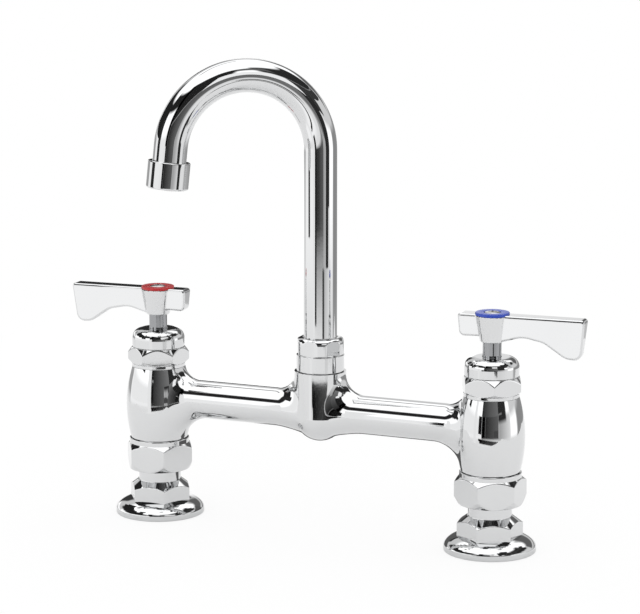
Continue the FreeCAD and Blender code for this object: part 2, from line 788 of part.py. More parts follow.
def make_valve(side, x, lever_deg):
    corner = bonnet_turn[side]
    low_ring, high_ring = ring_heights()
    ring_r = stem_r - o_ring_section / 2 + run_gap / 2
    rings = [o_ring(ring_r, o_ring_section, low_ring), o_ring(ring_r, o_ring_section, high_ring)]
    groove_r = cavity_thread_d / 2 - thread_gap - seal_groove_depth
    seal = ring(2 * groove_r, cavity_thread_d - 2 * seal_gap, leg_top_z - seal_groove_w + seal_slack,
                leg_top_z - seal_slack)
    washer = ring(stem_d + 2 * run_gap, 2 * (sleeve_bore_r - loose_gap), shoulder_top_z,
                  shoulder_top_z + thrust_h)
    keep(side + "_handle", make_handle(), x, lever_deg)
    keep(side + "_index_ring", make_index_ring(), x, lever_deg)
    keep(side + "_handle_screw", make_screw(), x, lever_deg)
    keep(side + "_stem", make_stem(), x, lever_deg)
    keep(side + "_stem_o_rings", Part.makeCompound(rings), x)
    keep(side + "_thrust_washer", washer, x)
    keep(side + "_upper_disc", make_upper_disc(), x, lever_deg)
    keep(side + "_lower_disc", make_lower_disc(), x, lever_deg)
    keep(side + "_seat_seal", ring(2 * disc_port_r, 2 * disc_r, cavity_floor_z, lower_disc_z), x)
    keep(side + "_bonnet", turned_bonnet(corner, lever_deg), x)
    keep(side + "_bonnet_seal", seal, x)


# The windows and keyways follow the lever's rest angle, and the hexagon has its own turn
def turned_bonnet(corner, lever_deg):
    bonnet = make_bonnet(corner - lever_deg)
    bonnet.rotate(V(0, 0, 0), V(0, 0, 1), lever_deg)
    return bonnet


def make_foot_set(side, x):
    keep(side + "_union_nut", make_union_nut(union_turn[side]), x)
    keep(side + "_union_washer", ring(waterway_d, union_thread_d - 2 * loose_gap, washer_z, leg_tail_z), x)
    keep(side + "_tailpiece", make_tailpiece(), x)
    keep(side + "_foot", make_foot(foot_turn[side]), x)
    keep(side + "_deck_gasket", ring(gasket_d_in, gasket_d_out, 0, gasket_h), x)


def make_spout():
    ring_r = ferrule_d / 2 - spout_ring_section / 2 + run_gap / 2
    low, high = spout_ring_heights()
    rings = [o_ring(ring_r, spout_ring_section, low), o_ring(ring_r, spout_ring_section, high)]
    keep("spout_tube", make_spout_tube(), 0, spout_deg)
    keep("spout_ferrule", make_ferrule(), 0, spout_deg)
    keep("spout_o_rings", Part.makeCompound(rings), 0, spout_deg)
    bearing = ring(tube_d + 2 * bearing_slack, ferrule_flange_d, bearing_z, bearing_z + bearing_h)
    keep("spout_bearing", bearing, 0, spout_deg)
    keep("swivel_nut", make_swivel_nut())
    keep("aerator_housing", hang(make_aerator_housing()), 0, spout_deg)
    keep("aerator_gasket", hang(make_aerator_gasket()), 0, spout_deg)
    keep("aerator_insert", hang(make_aerator_insert()), 0, spout_deg)


keep("bridge_body", make_bridge_body())
make_spout()
make_valve("hot", sides["hot"], hot_lever_deg)
make_valve("cold", sides["cold"], cold_lever_deg)
for side, x in sides.items():
    make_foot_set(side, x)

for name, shape in nodes.items():
    shape.exportStep("parts/" + name + ".step")
    box = shape.BoundBox
    print("%-22s solids %d valid %s volume %.1f  z %.2f to %.2f" % (
        name, len(shape.Solids), shape.isValid(), shape.Volume, box.ZMin, box.ZMax))
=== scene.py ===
from functools import partial
from math import acos, cos, hypot, pi, radians, sin, tan
import bpy
import bmesh
import numpy as np
from mathutils import Matrix, Vector


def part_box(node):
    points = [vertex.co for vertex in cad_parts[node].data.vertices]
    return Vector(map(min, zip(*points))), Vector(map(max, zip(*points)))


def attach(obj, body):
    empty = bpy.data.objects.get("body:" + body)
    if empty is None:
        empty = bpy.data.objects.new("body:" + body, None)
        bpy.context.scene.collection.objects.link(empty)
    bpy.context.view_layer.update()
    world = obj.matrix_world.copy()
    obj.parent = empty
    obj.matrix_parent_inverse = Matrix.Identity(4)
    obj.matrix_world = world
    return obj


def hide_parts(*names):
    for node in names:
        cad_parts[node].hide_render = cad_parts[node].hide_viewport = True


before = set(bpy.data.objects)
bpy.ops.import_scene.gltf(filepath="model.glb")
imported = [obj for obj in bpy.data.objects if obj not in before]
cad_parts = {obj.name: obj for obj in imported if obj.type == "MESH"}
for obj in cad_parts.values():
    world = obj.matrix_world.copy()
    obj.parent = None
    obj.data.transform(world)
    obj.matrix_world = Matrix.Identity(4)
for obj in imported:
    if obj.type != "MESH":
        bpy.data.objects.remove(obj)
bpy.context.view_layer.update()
mm = 0.001
scene = bpy.context.scene
print("frame loaded:", len(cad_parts), "nodes")


# Node trees. An input is given a value, or the output of another node.

def setInputs(tree, node, inputs):
    for key, value in dict(inputs).items():
        if isinstance(value, bpy.types.NodeSocket):
            tree.links.new(value, node.inputs[key])
        else:
            node.inputs[key].default_value = value


def addNode(tree, kind, inputs=(), **settings):
    node = tree.nodes.new(kind)
    for name, value in settings.items():
        setattr(node, name, value)
    setInputs(tree, node, inputs)
    return node


def addMath(tree, operation, *values, clamp=False):
    return addNode(tree, "ShaderNodeMath", enumerate(values), operation=operation, use_clamp=clamp).outputs[0]


def nodeMakers(tree):
    return partial(addNode, tree), partial(addMath, tree)


# A group's sockets are given by kind, their names in one line of words
def newGroup(name, kind, outputs, **inputs):
    tree = bpy.data.node_groups.new(name, kind)
    for way, sockets in (("INPUT", inputs), ("OUTPUT", outputs)):
        for socket, labels in sockets.items():
            for label in labels.split():
                tree.interface.new_socket(label, in_out=way, socket_type="NodeSocket" + socket)
    return tree, *nodeMakers(tree), addNode(tree, "NodeGroupInput").outputs


def newMaterial(name):
    material = bpy.data.materials.new(name)
    material.use_nodes = True
    return material, material.node_tree


def addObject(name, mesh):
    made = bpy.data.objects.new(name, mesh)
    scene.collection.objects.link(made)
    return made


def newMesh(name, corners, faces):
    mesh = bpy.data.meshes.new(name)
    mesh.from_pydata(corners, [], faces)
    return mesh


# Camera and studio

photoView = {
    "azimuth": 23.801,      # degrees round from the front towards the cold side
    "elevation": 10.509,    # degrees above the deck
    "distance": 1.41774,
    "lens": 143.36,         # mm
    "sensor": 36.0,         # mm across
    "aimSide": -0.00021,    # aim point, sideways of the riser in the view
    "aimHeight": 0.1279,
}


def makeCamera(v):
    az = radians(v["azimuth"])
    el = radians(v["elevation"])
    back = Vector((sin(az) * cos(el), -cos(az) * cos(el), sin(el)))
    aim = Vector((v["aimSide"] * cos(az), v["aimSide"] * sin(az), v["aimHeight"]))
    data = bpy.data.cameras.new("photoCamera")
    data.lens = v["lens"]
    data.sensor_width = v["sensor"]
    data.clip_start = 0.05
    data.clip_end = 20.0
    camera = addObject("photoCamera", data)
    camera.location = aim + back * v["distance"]
    camera.rotation_mode = "QUATERNION"
    camera.rotation_quaternion = back.to_track_quat("Z", "Y")
    scene.camera = camera


# The studio: a white wall all round with cards on it, and a few curved sheets that hang close to the
# faucet. Azimuth 0 is the user's side and 90 the cold side. A row that ends with two levels of
# brightness runs from one to the other, left to right.
studio = {"wall": 1.6, "background": 1.0, "fill": 1.16}

# Cards: azimuth, width, low and high edge and softness of the edges in degrees, then brightness
cards = {
    "ground": (0, 400, -90, -9, 3, 1.02),
    "front ground": (-12, 80, -36, -17, 6, 1.25),
    "front wall": (-45, 96, -10, 8, 6, 1.15),
    "left grey": (-114, 38, -9, 4, 5, 0.45),
    "back wall": (160, 80, -14, 10, 8, 0.34),
    "back grey": (-142, 80, 10, 40, 6, 0.75),
    "right back grey": (125, 70, 5, 30, 6, 0.85),
    "back band": (174, 44, 12, 34, 6, 0.15),
    "left patch": (-143, 15, -6, 24, 4, 0.05),
    "front ceiling gap": (-12, 96, 28, 46, 4, 0.02),
    "left ceiling gap": (-85, 64, 22, 36, 6, 0.02),
    "right ceiling gap": (105, 90, 29, 56, 5, 0.03),
    "ceiling seam": (-128, 50, 53, 58, 3, 0.3),
    "right edge": (50, 50, 38, 51, 5, 0.15),
    "right grey": (68, 44, -11, 9, 4, 0.42, 1.0),
    "right front dark": (60, 30, 4, 27, 4, 0.03),
    "front grey": (23, 46, -10, 12, 2.5, 0.02, 0.15),
    "front dark": (19, 54, 12, 50, 3, 0.02),
    "front black": (-6, 13, -10, 50, 2.5, 0.0),
}

# Sheets: radius in metres, azimuth and width in degrees, low and high edge in mm, then brightness
sheets = {
    "leftDark": (0.6, -84, 66, 275, 600, 0.02),
    "frontHigh": (0.6, 30, 66, 165, 350, 0.03, 0.24),
    "frontLow": (0.6, 42.5, 105, -80, -39, 0.0, 0.15),
    "bossFront": (0.6, -8.5, 11, -60, -38, 0.01),
    "frontEdge": (0.6, -8.5, 11, 5, 165, 0.01),
    "rightMid": (0.6, 44, 13, -10, 50, 0.08),
    "backLeft": (0.6, -145, 20, 160, 320, 0.03),
    "armShade": (0.55, 180, 13.5, 1, 38, 0.12),
    "rightHigh": (0.58, 52, 42, 360, 580, 1.2),
    "bendStrip": (0.25, 82, 8, 150, 330, 0.03),
    "bendRight": (0.6, 88, 32, 350, 600, 0.05),
    "bendBack": (0.6, 125, 42, 490, 600, 0.05),
    "rightStrip": (0.25, 70, 18, 110, 300, 0.03),
    "leftStrip": (0.25, -58, 14, 130, 300, 0.03),
    "hotSide": (0.35, -7, 12, -40, 220, 1.1),
}
sheetCentres = {"armShade": (0, -0.5), "hotSide": (-0.1016, 0)}     # the others curve round the riser


# One card: inside its angles the light takes on the card's brightness
def cardGroup():
    tree, add, calc, given = newGroup(
        "studioCard", "ShaderNodeTree", {"Float": "light"},
        Float="base azimuth elevation centre halfWidth middle halfHeight soft level far")
    turns = []
    masks = []
    for angle, centre, half in (("azimuth", "centre", "halfWidth"), ("elevation", "middle", "halfHeight")):
        turn = calc("WRAP", calc("SUBTRACT", given[angle], given[centre]), 180.0, -180.0)
        inside = calc("SUBTRACT", given[half], calc("ABSOLUTE", turn))
        masks.append(calc("ADD", calc("DIVIDE", inside, given["soft"]), 0.5, clamp=True))
        turns.append(turn)
    across = calc("MULTIPLY_ADD", calc("DIVIDE", turns[0], given["halfWidth"]), 0.5, 0.5, clamp=True)
    climb = calc("MULTIPLY", calc("SUBTRACT", given["far"], given["level"]), across)
    change = calc("SUBTRACT", calc("ADD", given["level"], climb), given["base"])
    light = calc("ADD", given["base"], calc("MULTIPLY", change, calc("MULTIPLY", *masks)))
    add("NodeGroupOutput", {"light": light})
    return tree


def makeStudio(s):
    world = bpy.data.worlds.new("lightTent")
    scene.world = world
    world.use_nodes = True
    world.node_tree.nodes.clear()
    add, calc = nodeMakers(world.node_tree)
    x, y, z = add("ShaderNodeSeparateXYZ", {0: add("ShaderNodeTexCoord").outputs["Generated"]}).outputs
    azimuth = calc("DEGREES", calc("ARCTAN2", x, calc("MULTIPLY", y, -1.0)))
    elevation = calc("DEGREES", calc("ARCSINE", z))
    card = cardGroup()
    light = s["wall"]
    for name, (centre, width, low, high, soft, *levels) in cards.items():
        light = add("ShaderNodeGroup", {
            "base": light, "azimuth": azimuth, "elevation": elevation, "centre": centre,
            "halfWidth": width / 2, "middle": (low + high) / 2, "halfHeight": (high - low) / 2,
            "soft": soft, "level": levels[0], "far": levels[-1]}, node_tree=card, label=name).outputs[0]
    # The cards show in reflections only; the open background and the fill are plain white
    seen = add("ShaderNodeLightPath").outputs
    mix = partial(add, "ShaderNodeMix", data_type="FLOAT")
    plain = mix({0: seen["Is Camera Ray"], 2: s["fill"], 3: s["background"]})
    pick = mix({0: seen["Is Glossy Ray"], 2: plain.outputs[0], 3: light})
    shine = add("ShaderNodeBackground", {"Color": (1, 1, 1, 1), "Strength": pick.outputs[0]})
    add("ShaderNodeOutputWorld", {"Surface": shine.outputs[0]})
    scene.view_settings.view_transform = "Standard"


# A curved sheet that only reflections see
def makeSheet(name, away, azimuth, width, low, high, *levels, parts=12):
    centre = sheetCentres.get(name, (0, 0))
    start = radians(azimuth - width / 2)
    turn = radians(width) / parts
    corners = []
    for k in range(parts + 1):
        x = centre[0] + away * sin(start + turn * k)
        y = centre[1] - away * cos(start + turn * k)
        corners += [(x, y, low * mm), (x, y, high * mm)]
    mesh = newMesh(name, corners, [(2 * k, 2 * k + 1, 2 * k + 3, 2 * k + 2) for k in range(parts)])
    across = mesh.uv_layers.new(name="across")
    for loop in mesh.loops:
        across.data[loop.index].uv = (loop.vertex_index // 2 / parts, loop.vertex_index % 2)
    material, tree = newMaterial(name)
    tree.nodes.clear()
    add, calc = nodeMakers(tree)
    share = add("ShaderNodeSeparateXYZ", {0: add("ShaderNodeUVMap", uv_map="across").outputs[0]}).outputs[0]
    level = calc("ADD", calc("MULTIPLY", share, levels[-1] - levels[0]), levels[0])
    glow = add("ShaderNodeEmission", {"Strength": level})
    add("ShaderNodeOutputMaterial", {"Surface": glow.outputs[0]})
    material.cycles.emission_sampling = "NONE"
    mesh.materials.append(material)
    sheet = addObject(name, mesh)
    for kind in ("camera", "diffuse", "transmission", "volume_scatter", "shadow"):
        setattr(sheet, "visible_" + kind, False)


floorSizes = {"side": 0.45, "front": -0.235, "back": 0.5, "albedo": 0.88, "roughness": 0.9, "lit": 0.85}


# The floor is lit so strongly that the camera sees it almost white
def makeFloor(f):
    side, front, back = f["side"], f["front"], f["back"]
    corners = [(-side, front, 0), (side, front, 0), (side, back, 0), (-side, back, 0)]
    mesh = newMesh("paleFloor", corners, [(0, 1, 2, 3)])
    material, tree = newMaterial("paleFloor")
    add, calc = nodeMakers(tree)
    shader = tree.nodes["Principled BSDF"]
    setInputs(tree, shader, {"Base Color": (f["albedo"], f["albedo"], f["albedo"], 1),
                             "Roughness": f["roughness"], "Specular IOR Level": 0.0})
    lit = calc("MULTIPLY", add("ShaderNodeLightPath").outputs["Is Camera Ray"], f["lit"])
    glow = add("ShaderNodeEmission")
    both = add("ShaderNodeMixShader", {0: lit, 1: shader.outputs[0], 2: glow.outputs[0]})
    setInputs(tree, tree.nodes["Material Output"], {"Surface": both.outputs[0]})
    material.cycles.emission_sampling = "NONE"
    mesh.materials.append(material)
    addObject("paleFloor", mesh)


makeCamera(photoView)
makeStudio(studio)
for name, row in sheets.items():
    makeSheet(name, *row)
makeFloor(floorSizes)
print("camera, studio and floor made")

# Finishes

plating = (0.70, 0.705, 0.71)
polish = 0.035      # roughness of the polished plating
polishing = {"scale": 400.0, "variation": 0.02, "bump": 0.02, "tintVariation": 0.03}


# Faint marks of polishing and handling: a roughness value that varies, and a very low bump
def polishGroup():
    tree, add, calc, given = newGroup(
        "polishMarks", "ShaderNodeTree", {"Float": "roughness", "Vector": "normal", "Color": "colour"},
        Float="scale roughness variation bump tintVariation", Color="tint")
    place = add("ShaderNodeTexCoord").outputs["Object"]
    broad = calc("MULTIPLY", given["scale"], 0.12)      # smudges are wider than the grain
    smudge = add("ShaderNodeTexNoise", {"Vector": place, "Scale": broad, "Detail": 4.0}).outputs[0]
    grain = add("ShaderNodeTexNoise", {"Vector": place, "Scale": given["scale"], "Detail": 2.0}).outputs[0]
    change = calc("MULTIPLY", calc("SUBTRACT", smudge, 0.5), given["variation"])
    bump = add("ShaderNodeBump", {"Distance": 0.0001, "Strength": given["bump"], "Height": grain})
    shade = add("ShaderNodeMix", {0: given["tintVariation"], 6: given["tint"], 7: smudge},
                data_type="RGBA", blend_type="MULTIPLY")
    rough = calc("ADD", given["roughness"], change, clamp=True)
    add("NodeGroupOutput", {"roughness": rough, "normal": bump.outputs["Normal"], "colour": shade.outputs[2]})
    return tree


polishMarks = polishGroup()


def finish(name, colour, metallic, roughness, **marks):
    material, tree = newMaterial(name)
    values = {**polishing, **marks, "roughness": roughness, "tint": (*colour, 1)}
    look = addNode(tree, "ShaderNodeGroup", values, node_tree=polishMarks).outputs
    setInputs(tree, tree.nodes["Principled BSDF"], {
        "Metallic": metallic, "Base Color": look["colour"], "Roughness": look["roughness"],
        "Normal": look["normal"]})
    return material


finishes = {
    "chrome": finish("polishedChrome", plating, 1, polish),
    "stemSteel": finish("stemSteel", (0.34, 0.345, 0.355), 1, 0.06, variation=0.03, bump=0.05),
    "castChrome": finish("castChrome", plating, 1, polish + 0.01, scale=150.0, bump=0.04),
    "brass": finish("turnedBrass", (0.74, 0.56, 0.28), 1, 0.22, variation=0.1, bump=0.15, tintVariation=0.1),
    "rubber": finish("sealRubber", (0.03, 0.03, 0.033), 0, 0.6, variation=0.15, bump=0.2, tintVariation=0.2),
    "ceramic": finish("valveCeramic", (0.86, 0.85, 0.8), 0, 0.18, variation=0.05, bump=0.03),
    "white_plastic": finish("aeratorPlastic", (0.78, 0.79, 0.79), 0, 0.35, variation=0.1, bump=0.08),
    "hot_index": finish("redIndexPlastic", (0.43, 0.018, 0.022), 0, 0.28, variation=0.1, bump=0.1),
    "cold_index": finish("blueIndexPlastic", (0.022, 0.06, 0.42), 0, 0.28, variation=0.1, bump=0.1),
    "screwSteel": finish("screwSteel", (0.62, 0.62, 0.61), 1, 0.12, variation=0.08, bump=0.1),
}
print("finishes made:", len(finishes))


# Mesh helpers. Sizes in the helpers' profiles are mm, and meshes are made in metres.

cornerSizes = {"mostOfEdge": 0.49, "support": 0.6, "supportLeast": 0.04, "supportMost": 0.3}


# Corner (r, z, radius): each corner becomes a tangent arc with a support point on either side. Runs
# beyond plainInside of the axis are divided at every step.
def roundedProfile(corners, step=0.0, closed=True, arcParts=6, plainInside=0.0):
    c = cornerSizes
    points = np.array([corner[:2] for corner in corners], float)
    out = []
    n = len(points)
    for i, here in enumerate(points):
        if not closed and i in (0, n - 1):
            out.append(here)
            continue
        back, ahead = points[i - 1] - here, points[(i + 1) % n] - here
        lenBack, lenAhead = np.linalg.norm(back), np.linalg.norm(ahead)
        back /= lenBack
        ahead /= lenAhead
        half = acos(max(-1.0, min(1.0, float(back @ ahead)))) / 2
        cut = min(corners[i][2] / tan(half), lenBack * c["mostOfEdge"], lenAhead * c["mostOfEdge"])
        radius = cut * tan(half)
        support = min(max(cut * c["support"], c["supportLeast"]), c["supportMost"])
        out.append(here + back * min(cut + support, lenBack * 0.5))
        if radius <= 1e-6:
            out.append(here)
        else:
            middle = back + ahead
            middle /= np.linalg.norm(middle)
            centre = here + middle * (radius / sin(half))
            start = here + back * cut - centre
            end = here + ahead * cut - centre
            angle = acos(max(-1.0, min(1.0, float(start @ end) / (radius * radius))))
            for t in np.arange(arcParts + 1) / arcParts:
                blend = (sin((1 - t) * angle) * start + sin(t * angle) * end) / sin(angle)
                out.append(centre + blend)
        out.append(here + ahead * min(cut + support, lenAhead * 0.5))
    dense = []
    for a, b in zip(out, out[1:] + (out[:1] if closed else [])):
        gap = np.linalg.norm(b - a)
        parts = int(gap / step) if step and min(a[0], b[0]) > plainInside else 0
        if gap >= 1e-5:
            dense += [a + (b - a) * k / (parts + 1) for k in range(parts + 1)]
    if not closed:
        dense.append(out[-1])
    return np.array(dense)


# Skin over rings of points in metres; a ring of one point is a pole
def meshFromGrid(name, rings, closeRings):
    starts = np.cumsum([0] + [len(ring) for ring in rings]).tolist()
    faces = []
    for a in range(len(rings) - (0 if closeRings else 1)):
        b = (a + 1) % len(rings)
        na, nb = len(rings[a]), len(rings[b])
        n = max(na, nb)
        for k in range(n):
            m = (k + 1) % n
            corners = [starts[a] + k % na, starts[a] + m % na, starts[b] + m % nb, starts[b] + k % nb]
            face = list(dict.fromkeys(corners))
            if len(face) > 2:
                faces.append(face)
    mesh = newMesh(name, np.concatenate(rings).tolist(), faces)
    work = bmesh.new()
    work.from_mesh(mesh)
    bmesh.ops.recalc_face_normals(work, faces=work.faces)
    work.to_mesh(mesh)
    work.free()
    mesh.shade_smooth()
    return mesh


def objectFrom(name, work):
    data = bpy.data.meshes.new(name)
    work.to_mesh(data)
    work.free()
    return addObject(name, data)


def discard(piece):
    data = piece.data
    bpy.data.objects.remove(piece)
    bpy.data.meshes.remove(data)


def evenAngles(count):
    return np.arange(count) * 2 * pi / count


# Angles that crowd towards the six corners of a hexagon
def hexAngles(perSide, turnDeg):
    u = np.arange(perSide) * 2 / perSide - 1
    side = radians(30) * (1.5 * u - 0.5 * u ** 3)
    return np.concatenate([side + radians(30 + 60 * i + turnDeg) for i in range(6)])


# Turn a profile of (r, z) in mm round an upright axis at centre (x, y in metres)
def turned(name, profile, centre, angles, closed=True, place=None):
    rings = []
    for r, z in profile:
        if r < 1e-6:
            rings.append(np.array([[0.0, 0.0, z * mm]]))
            continue
        height = np.full(len(angles), z * mm)
        rings.append(np.stack([r * mm * np.cos(angles), r * mm * np.sin(angles), height], 1))
    mesh = meshFromGrid(name, rings, closed)
    if place is not None:
        mesh.transform(place)
    mesh.transform(Matrix.Translation((*centre, 0)))
    return addObject(name, mesh)


def bakeModifiers(piece):
    graph = bpy.context.evaluated_depsgraph_get()
    plain = bpy.data.meshes.new_from_object(piece.evaluated_get(graph))
    piece.modifiers.clear()
    old = piece.data
    plain.name = piece.name
    piece.data = plain
    bpy.data.meshes.remove(old)
    return piece


def modify(piece, kind, **settings):
    modifier = piece.modifiers.new(kind, kind)
    for name, value in settings.items():
        setattr(modifier, name, value)
    bakeModifiers(piece)


def cutWith(piece, cutter):
    modify(piece, "BOOLEAN", operation="DIFFERENCE", solver="EXACT", object=cutter)
    discard(cutter)


def dress(piece, node, body="bridge", look="chrome"):
    piece.data.materials.clear()
    piece.data.materials.append(finishes[look])
    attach(piece, body)
    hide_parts(node)


# Hexagon flats cut on a turned piece: every point is drawn in to the hexagon, with a soft edge
def hexTree():
    tree, add, calc, given = newGroup(
        "hexFlats", "GeometryNodeTree", {"Geometry": "geometry"}, Geometry="geometry",
        Float="axisX acrossFlats cornerTurn low high softness", Material="material")
    side, y, z = add("ShaderNodeSeparateXYZ", {0: add("GeometryNodeInputPosition").outputs[0]}).outputs
    x = calc("SUBTRACT", side, given["axisX"])
    radius = calc("SQRT", calc("ADD", calc("MULTIPLY", x, x), calc("MULTIPLY", y, y)))
    angle = calc("SUBTRACT", calc("ARCTAN2", y, x), given["cornerTurn"])
    sector = radians(60)
    fromFlat = calc("SUBTRACT", calc("FLOORED_MODULO", angle, sector), sector / 2)
    flat = calc("DIVIDE", calc("MULTIPLY", given["acrossFlats"], 0.5), calc("COSINE", fromFlat))
    share = calc("DIVIDE", calc("SMOOTH_MIN", radius, flat, given["softness"]), radius)
    newX = calc("ADD", calc("MULTIPLY", x, share), given["axisX"])
    place = add("ShaderNodeCombineXYZ", {0: newX, 1: calc("MULTIPLY", y, share), 2: z})
    inside = calc("MULTIPLY", calc("GREATER_THAN", z, given["low"]), calc("LESS_THAN", z, given["high"]))
    move = add("GeometryNodeSetPosition", {
        "Geometry": given["geometry"], "Selection": inside, "Position": place.outputs[0]})
    closeTree(add, given, move)
    return tree


def closeTree(add, given, last):
    realize = add("GeometryNodeRealizeInstances", {0: last.outputs[0]})
    paint = add("GeometryNodeSetMaterial", {"Geometry": realize.outputs[0], "Material": given["material"]})
    add("NodeGroupOutput", {"geometry": paint.outputs[0]})


def applyTree(piece, tree, **values):
    modifier = piece.modifiers.new(tree.name, "NODES")
    modifier.node_group = tree
    for item in tree.interface.items_tree:
        if item.in_out == "INPUT" and item.name in values:
            modifier[item.identifier] = values[item.name]
    return bakeModifiers(piece)


hexFlats = hexTree()


# Outer outline of a hexagon whose corners are turned off at both ends
def hexForm(acrossFlats, low, high, chamferLow, chamferHigh, edge):
    flatR = acrossFlats / 2
    cornerR = flatR / cos(pi / 6)
    outR = cornerR + 1
    reach = (outR - flatR) / (cornerR - flatR)
    lowTurn = low + chamferLow * reach
    highTurn = high - chamferHigh * reach
    if lowTurn < highTurn:
        return [(flatR, low, edge), (outR, lowTurn, 0), (outR, highTurn, 0), (flatR, high, edge)]
    middle = low + (high - low) * chamferLow / (chamferLow + chamferHigh)
    peak = flatR + (middle - low) / chamferLow * (cornerR - flatR)
    return [(flatR, low, edge), (peak, middle, 0), (flatR, high, edge)]


# A turned piece with flats cut on it between two heights
def hexPiece(name, outline, centre, sizes, low, high, turnDeg, perSide=36, step=0.25, plainInside=0.0):
    profile = roundedProfile(outline, step=step, plainInside=plainInside)
    piece = turned(name, profile, centre, hexAngles(perSide, turnDeg))
    return applyTree(piece, hexFlats, axisX=centre[0], acrossFlats=sizes["acrossFlats"] * mm, low=low * mm,
                     high=high * mm, cornerTurn=radians(turnDeg), softness=sizes["softness"] * mm,
                     material=finishes["chrome"])


# Quarter of an ellipse from a dome's edge up to the flat on its top
def domeArc(edgeR, flatR, low, rise, parts):
    turns = [radians(90) * k / parts for k in range(1, parts)]
    return [(flatR + (edgeR - flatR) * cos(t), low + rise * sin(t), 0) for t in turns]


# Axis place in metres, and lowest and highest point in mm, of an upright round node
def nodePlace(node):
    low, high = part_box(node)
    return ((low.x + high.x) / 2, (low.y + high.y) / 2), low.z / mm, high.z / mm


def radii(sizes, *names):
    return [sizes[name + "D"] / 2 for name in names]


sides = ("hot", "cold")

# Radii of machined edges in mm, from a crisp one to a broken one, and small steps past an edge
crisp, fine, broken = 0.1, 0.2, 0.3
hair, sliver = 0.05, 0.01

# Feet

foot = {"flangeD": 50.8, "rimHeight": 3.2, "rimEdge": 0.4, "shoulder": 1.1, "domeTop": 9.0, "bulge": 1.2,
        "midRise": 0.62, "domeParts": 16, "underHex": 0.6, "acrossFlats": 31.8, "hexTop": 17.2,
        "chamferHigh": 1.9, "mouthD": 25.2, "pocketD": 21.1, "pocketBottom": 14.0, "waterwayD": 13.0,
        "inletD": 19.0, "inletDepth": 13.0, "inletEdge": 0.5, "gasketIn": 27.0, "gasketOut": 42.0,
        "gasketDepth": 1.5, "overlap": 0.5, "sunk": 1.0, "softness": 0.25, "turn": {"hot": 4.4, "cold": 27.9}}
thread = {"pitch": 1.8, "height": 0.55, "clear": 0.8}


# Turns of a thread on the inlet's wall: a ridge swept along a helix
def threadTree():
    tree, add, _, given = newGroup(
        "threadTurns", "GeometryNodeTree", {"Geometry": "geometry"}, Geometry="geometry",
        Float="radius length turns ridge", Vector="start", Material="material")
    helix = add("GeometryNodeCurveSpiral", {
        "Resolution": 48, "Rotations": given["turns"], "Start Radius": given["radius"],
        "End Radius": given["radius"], "Height": given["length"]})
    ridge = add("GeometryNodeCurvePrimitiveCircle", {"Resolution": 6, "Radius": given["ridge"]})
    sweep = add("GeometryNodeCurveToMesh", {
        "Curve": helix.outputs[0], "Profile Curve": ridge.outputs[0], "Fill Caps": True})
    shift = add("GeometryNodeTransform", {"Geometry": sweep.outputs[0], "Translation": given["start"]})
    closeTree(add, given, shift)
    return tree


threadTurns = threadTree()


def joinInto(piece, *others):
    work = bmesh.new()
    work.from_mesh(piece.data)
    for other in others:
        work.from_mesh(other.data)
    work.to_mesh(piece.data)
    work.free()
    for other in others:
        discard(other)
    piece.data.shade_smooth()
    return piece


# The flange's dome runs as one curve from rim to hexagon, and the hexagon's column stands in it
def makeFoot(side):
    node = side + "_foot"
    centre, _, high = nodePlace(node)
    f = foot
    rimR, mouthR, pocketR, waterR, inletR = radii(f, "flange", "mouth", "pocket", "waterway", "inlet")
    hexR = f["acrossFlats"] / 2
    topR = hexR - f["underHex"]
    rimZ, topZ = f["rimHeight"], f["domeTop"]
    rim, top = np.array((rimR, rimZ, 0)), np.array((topR, topZ, 0))
    swell = np.array((rimR + hexR + 2 * f["bulge"], 2 * (rimZ + (topZ - rimZ) * f["midRise"]), 0))
    t = np.arange(1, f["domeParts"])[:, None] / f["domeParts"]
    dome = (1 - t) ** 2 * rim + 2 * t * (1 - t) * (swell - (rim + top) / 2) + t ** 2 * top
    gasketIn, gasketOut, gasketZ = f["gasketIn"] / 2, f["gasketOut"] / 2, f["gasketDepth"]
    inside = gasketIn - f["overlap"]
    flange = [(rimR, 0, f["rimEdge"]), (rimR, rimZ, f["shoulder"]), *dome, (topR, topZ, 0), (inside, topZ, 0),
              (inside, gasketZ, 0), (gasketOut, gasketZ, crisp), (gasketOut, 0, fine)]
    piece = turned(side + "Foot", roundedProfile(flange, step=0.4), centre, evenAngles(192))
    cornerR = hexR / cos(pi / 6) + hair
    sunk = rimZ + f["sunk"]
    column = [(gasketIn, 0, fine), (gasketIn, sunk, 0), (cornerR, sunk, 0),
              (cornerR, f["hexTop"] - f["chamferHigh"], hair), (hexR, f["hexTop"], 0), (mouthR, high, broken),
              (pocketR, high, fine), (pocketR, f["pocketBottom"], crisp), (waterR, f["pocketBottom"], fine),
              (waterR, f["inletDepth"], fine), (inletR, f["inletDepth"], fine), (inletR, 0, f["inletEdge"])]
    hexagon = hexPiece(side + "Hexagon", column, centre, f, sunk - 2 * hair, f["hexTop"] + hair,
                       f["turn"][side], perSide=40, step=0.3)
    length = f["inletDepth"] - 2 * thread["clear"]
    turns = addObject(side + "InletThread", bpy.data.meshes.new(side + "InletThread"))
    start = (*centre, thread["clear"] * mm)
    applyTree(turns, threadTurns, radius=inletR * mm, length=length * mm, turns=length / thread["pitch"],
              ridge=thread["height"] * mm, start=start, material=finishes["chrome"])
    joinInto(piece, hexagon, turns)
    dress(piece, node)


# Union nuts

unionNut = {"acrossFlats": 34.9, "hexHeight": 15.5, "chamferLow": 4.4, "chamferHigh": 2.8, "collarD": 34.2,
            "collarDrop": 0.2, "collarEdge": 0.5, "neckD": 24.2, "threadD": 28.4, "lip": 3.0, "edge": 0.35,
            "softness": 0.25, "turn": {"hot": 3.8, "cold": 30.2}}


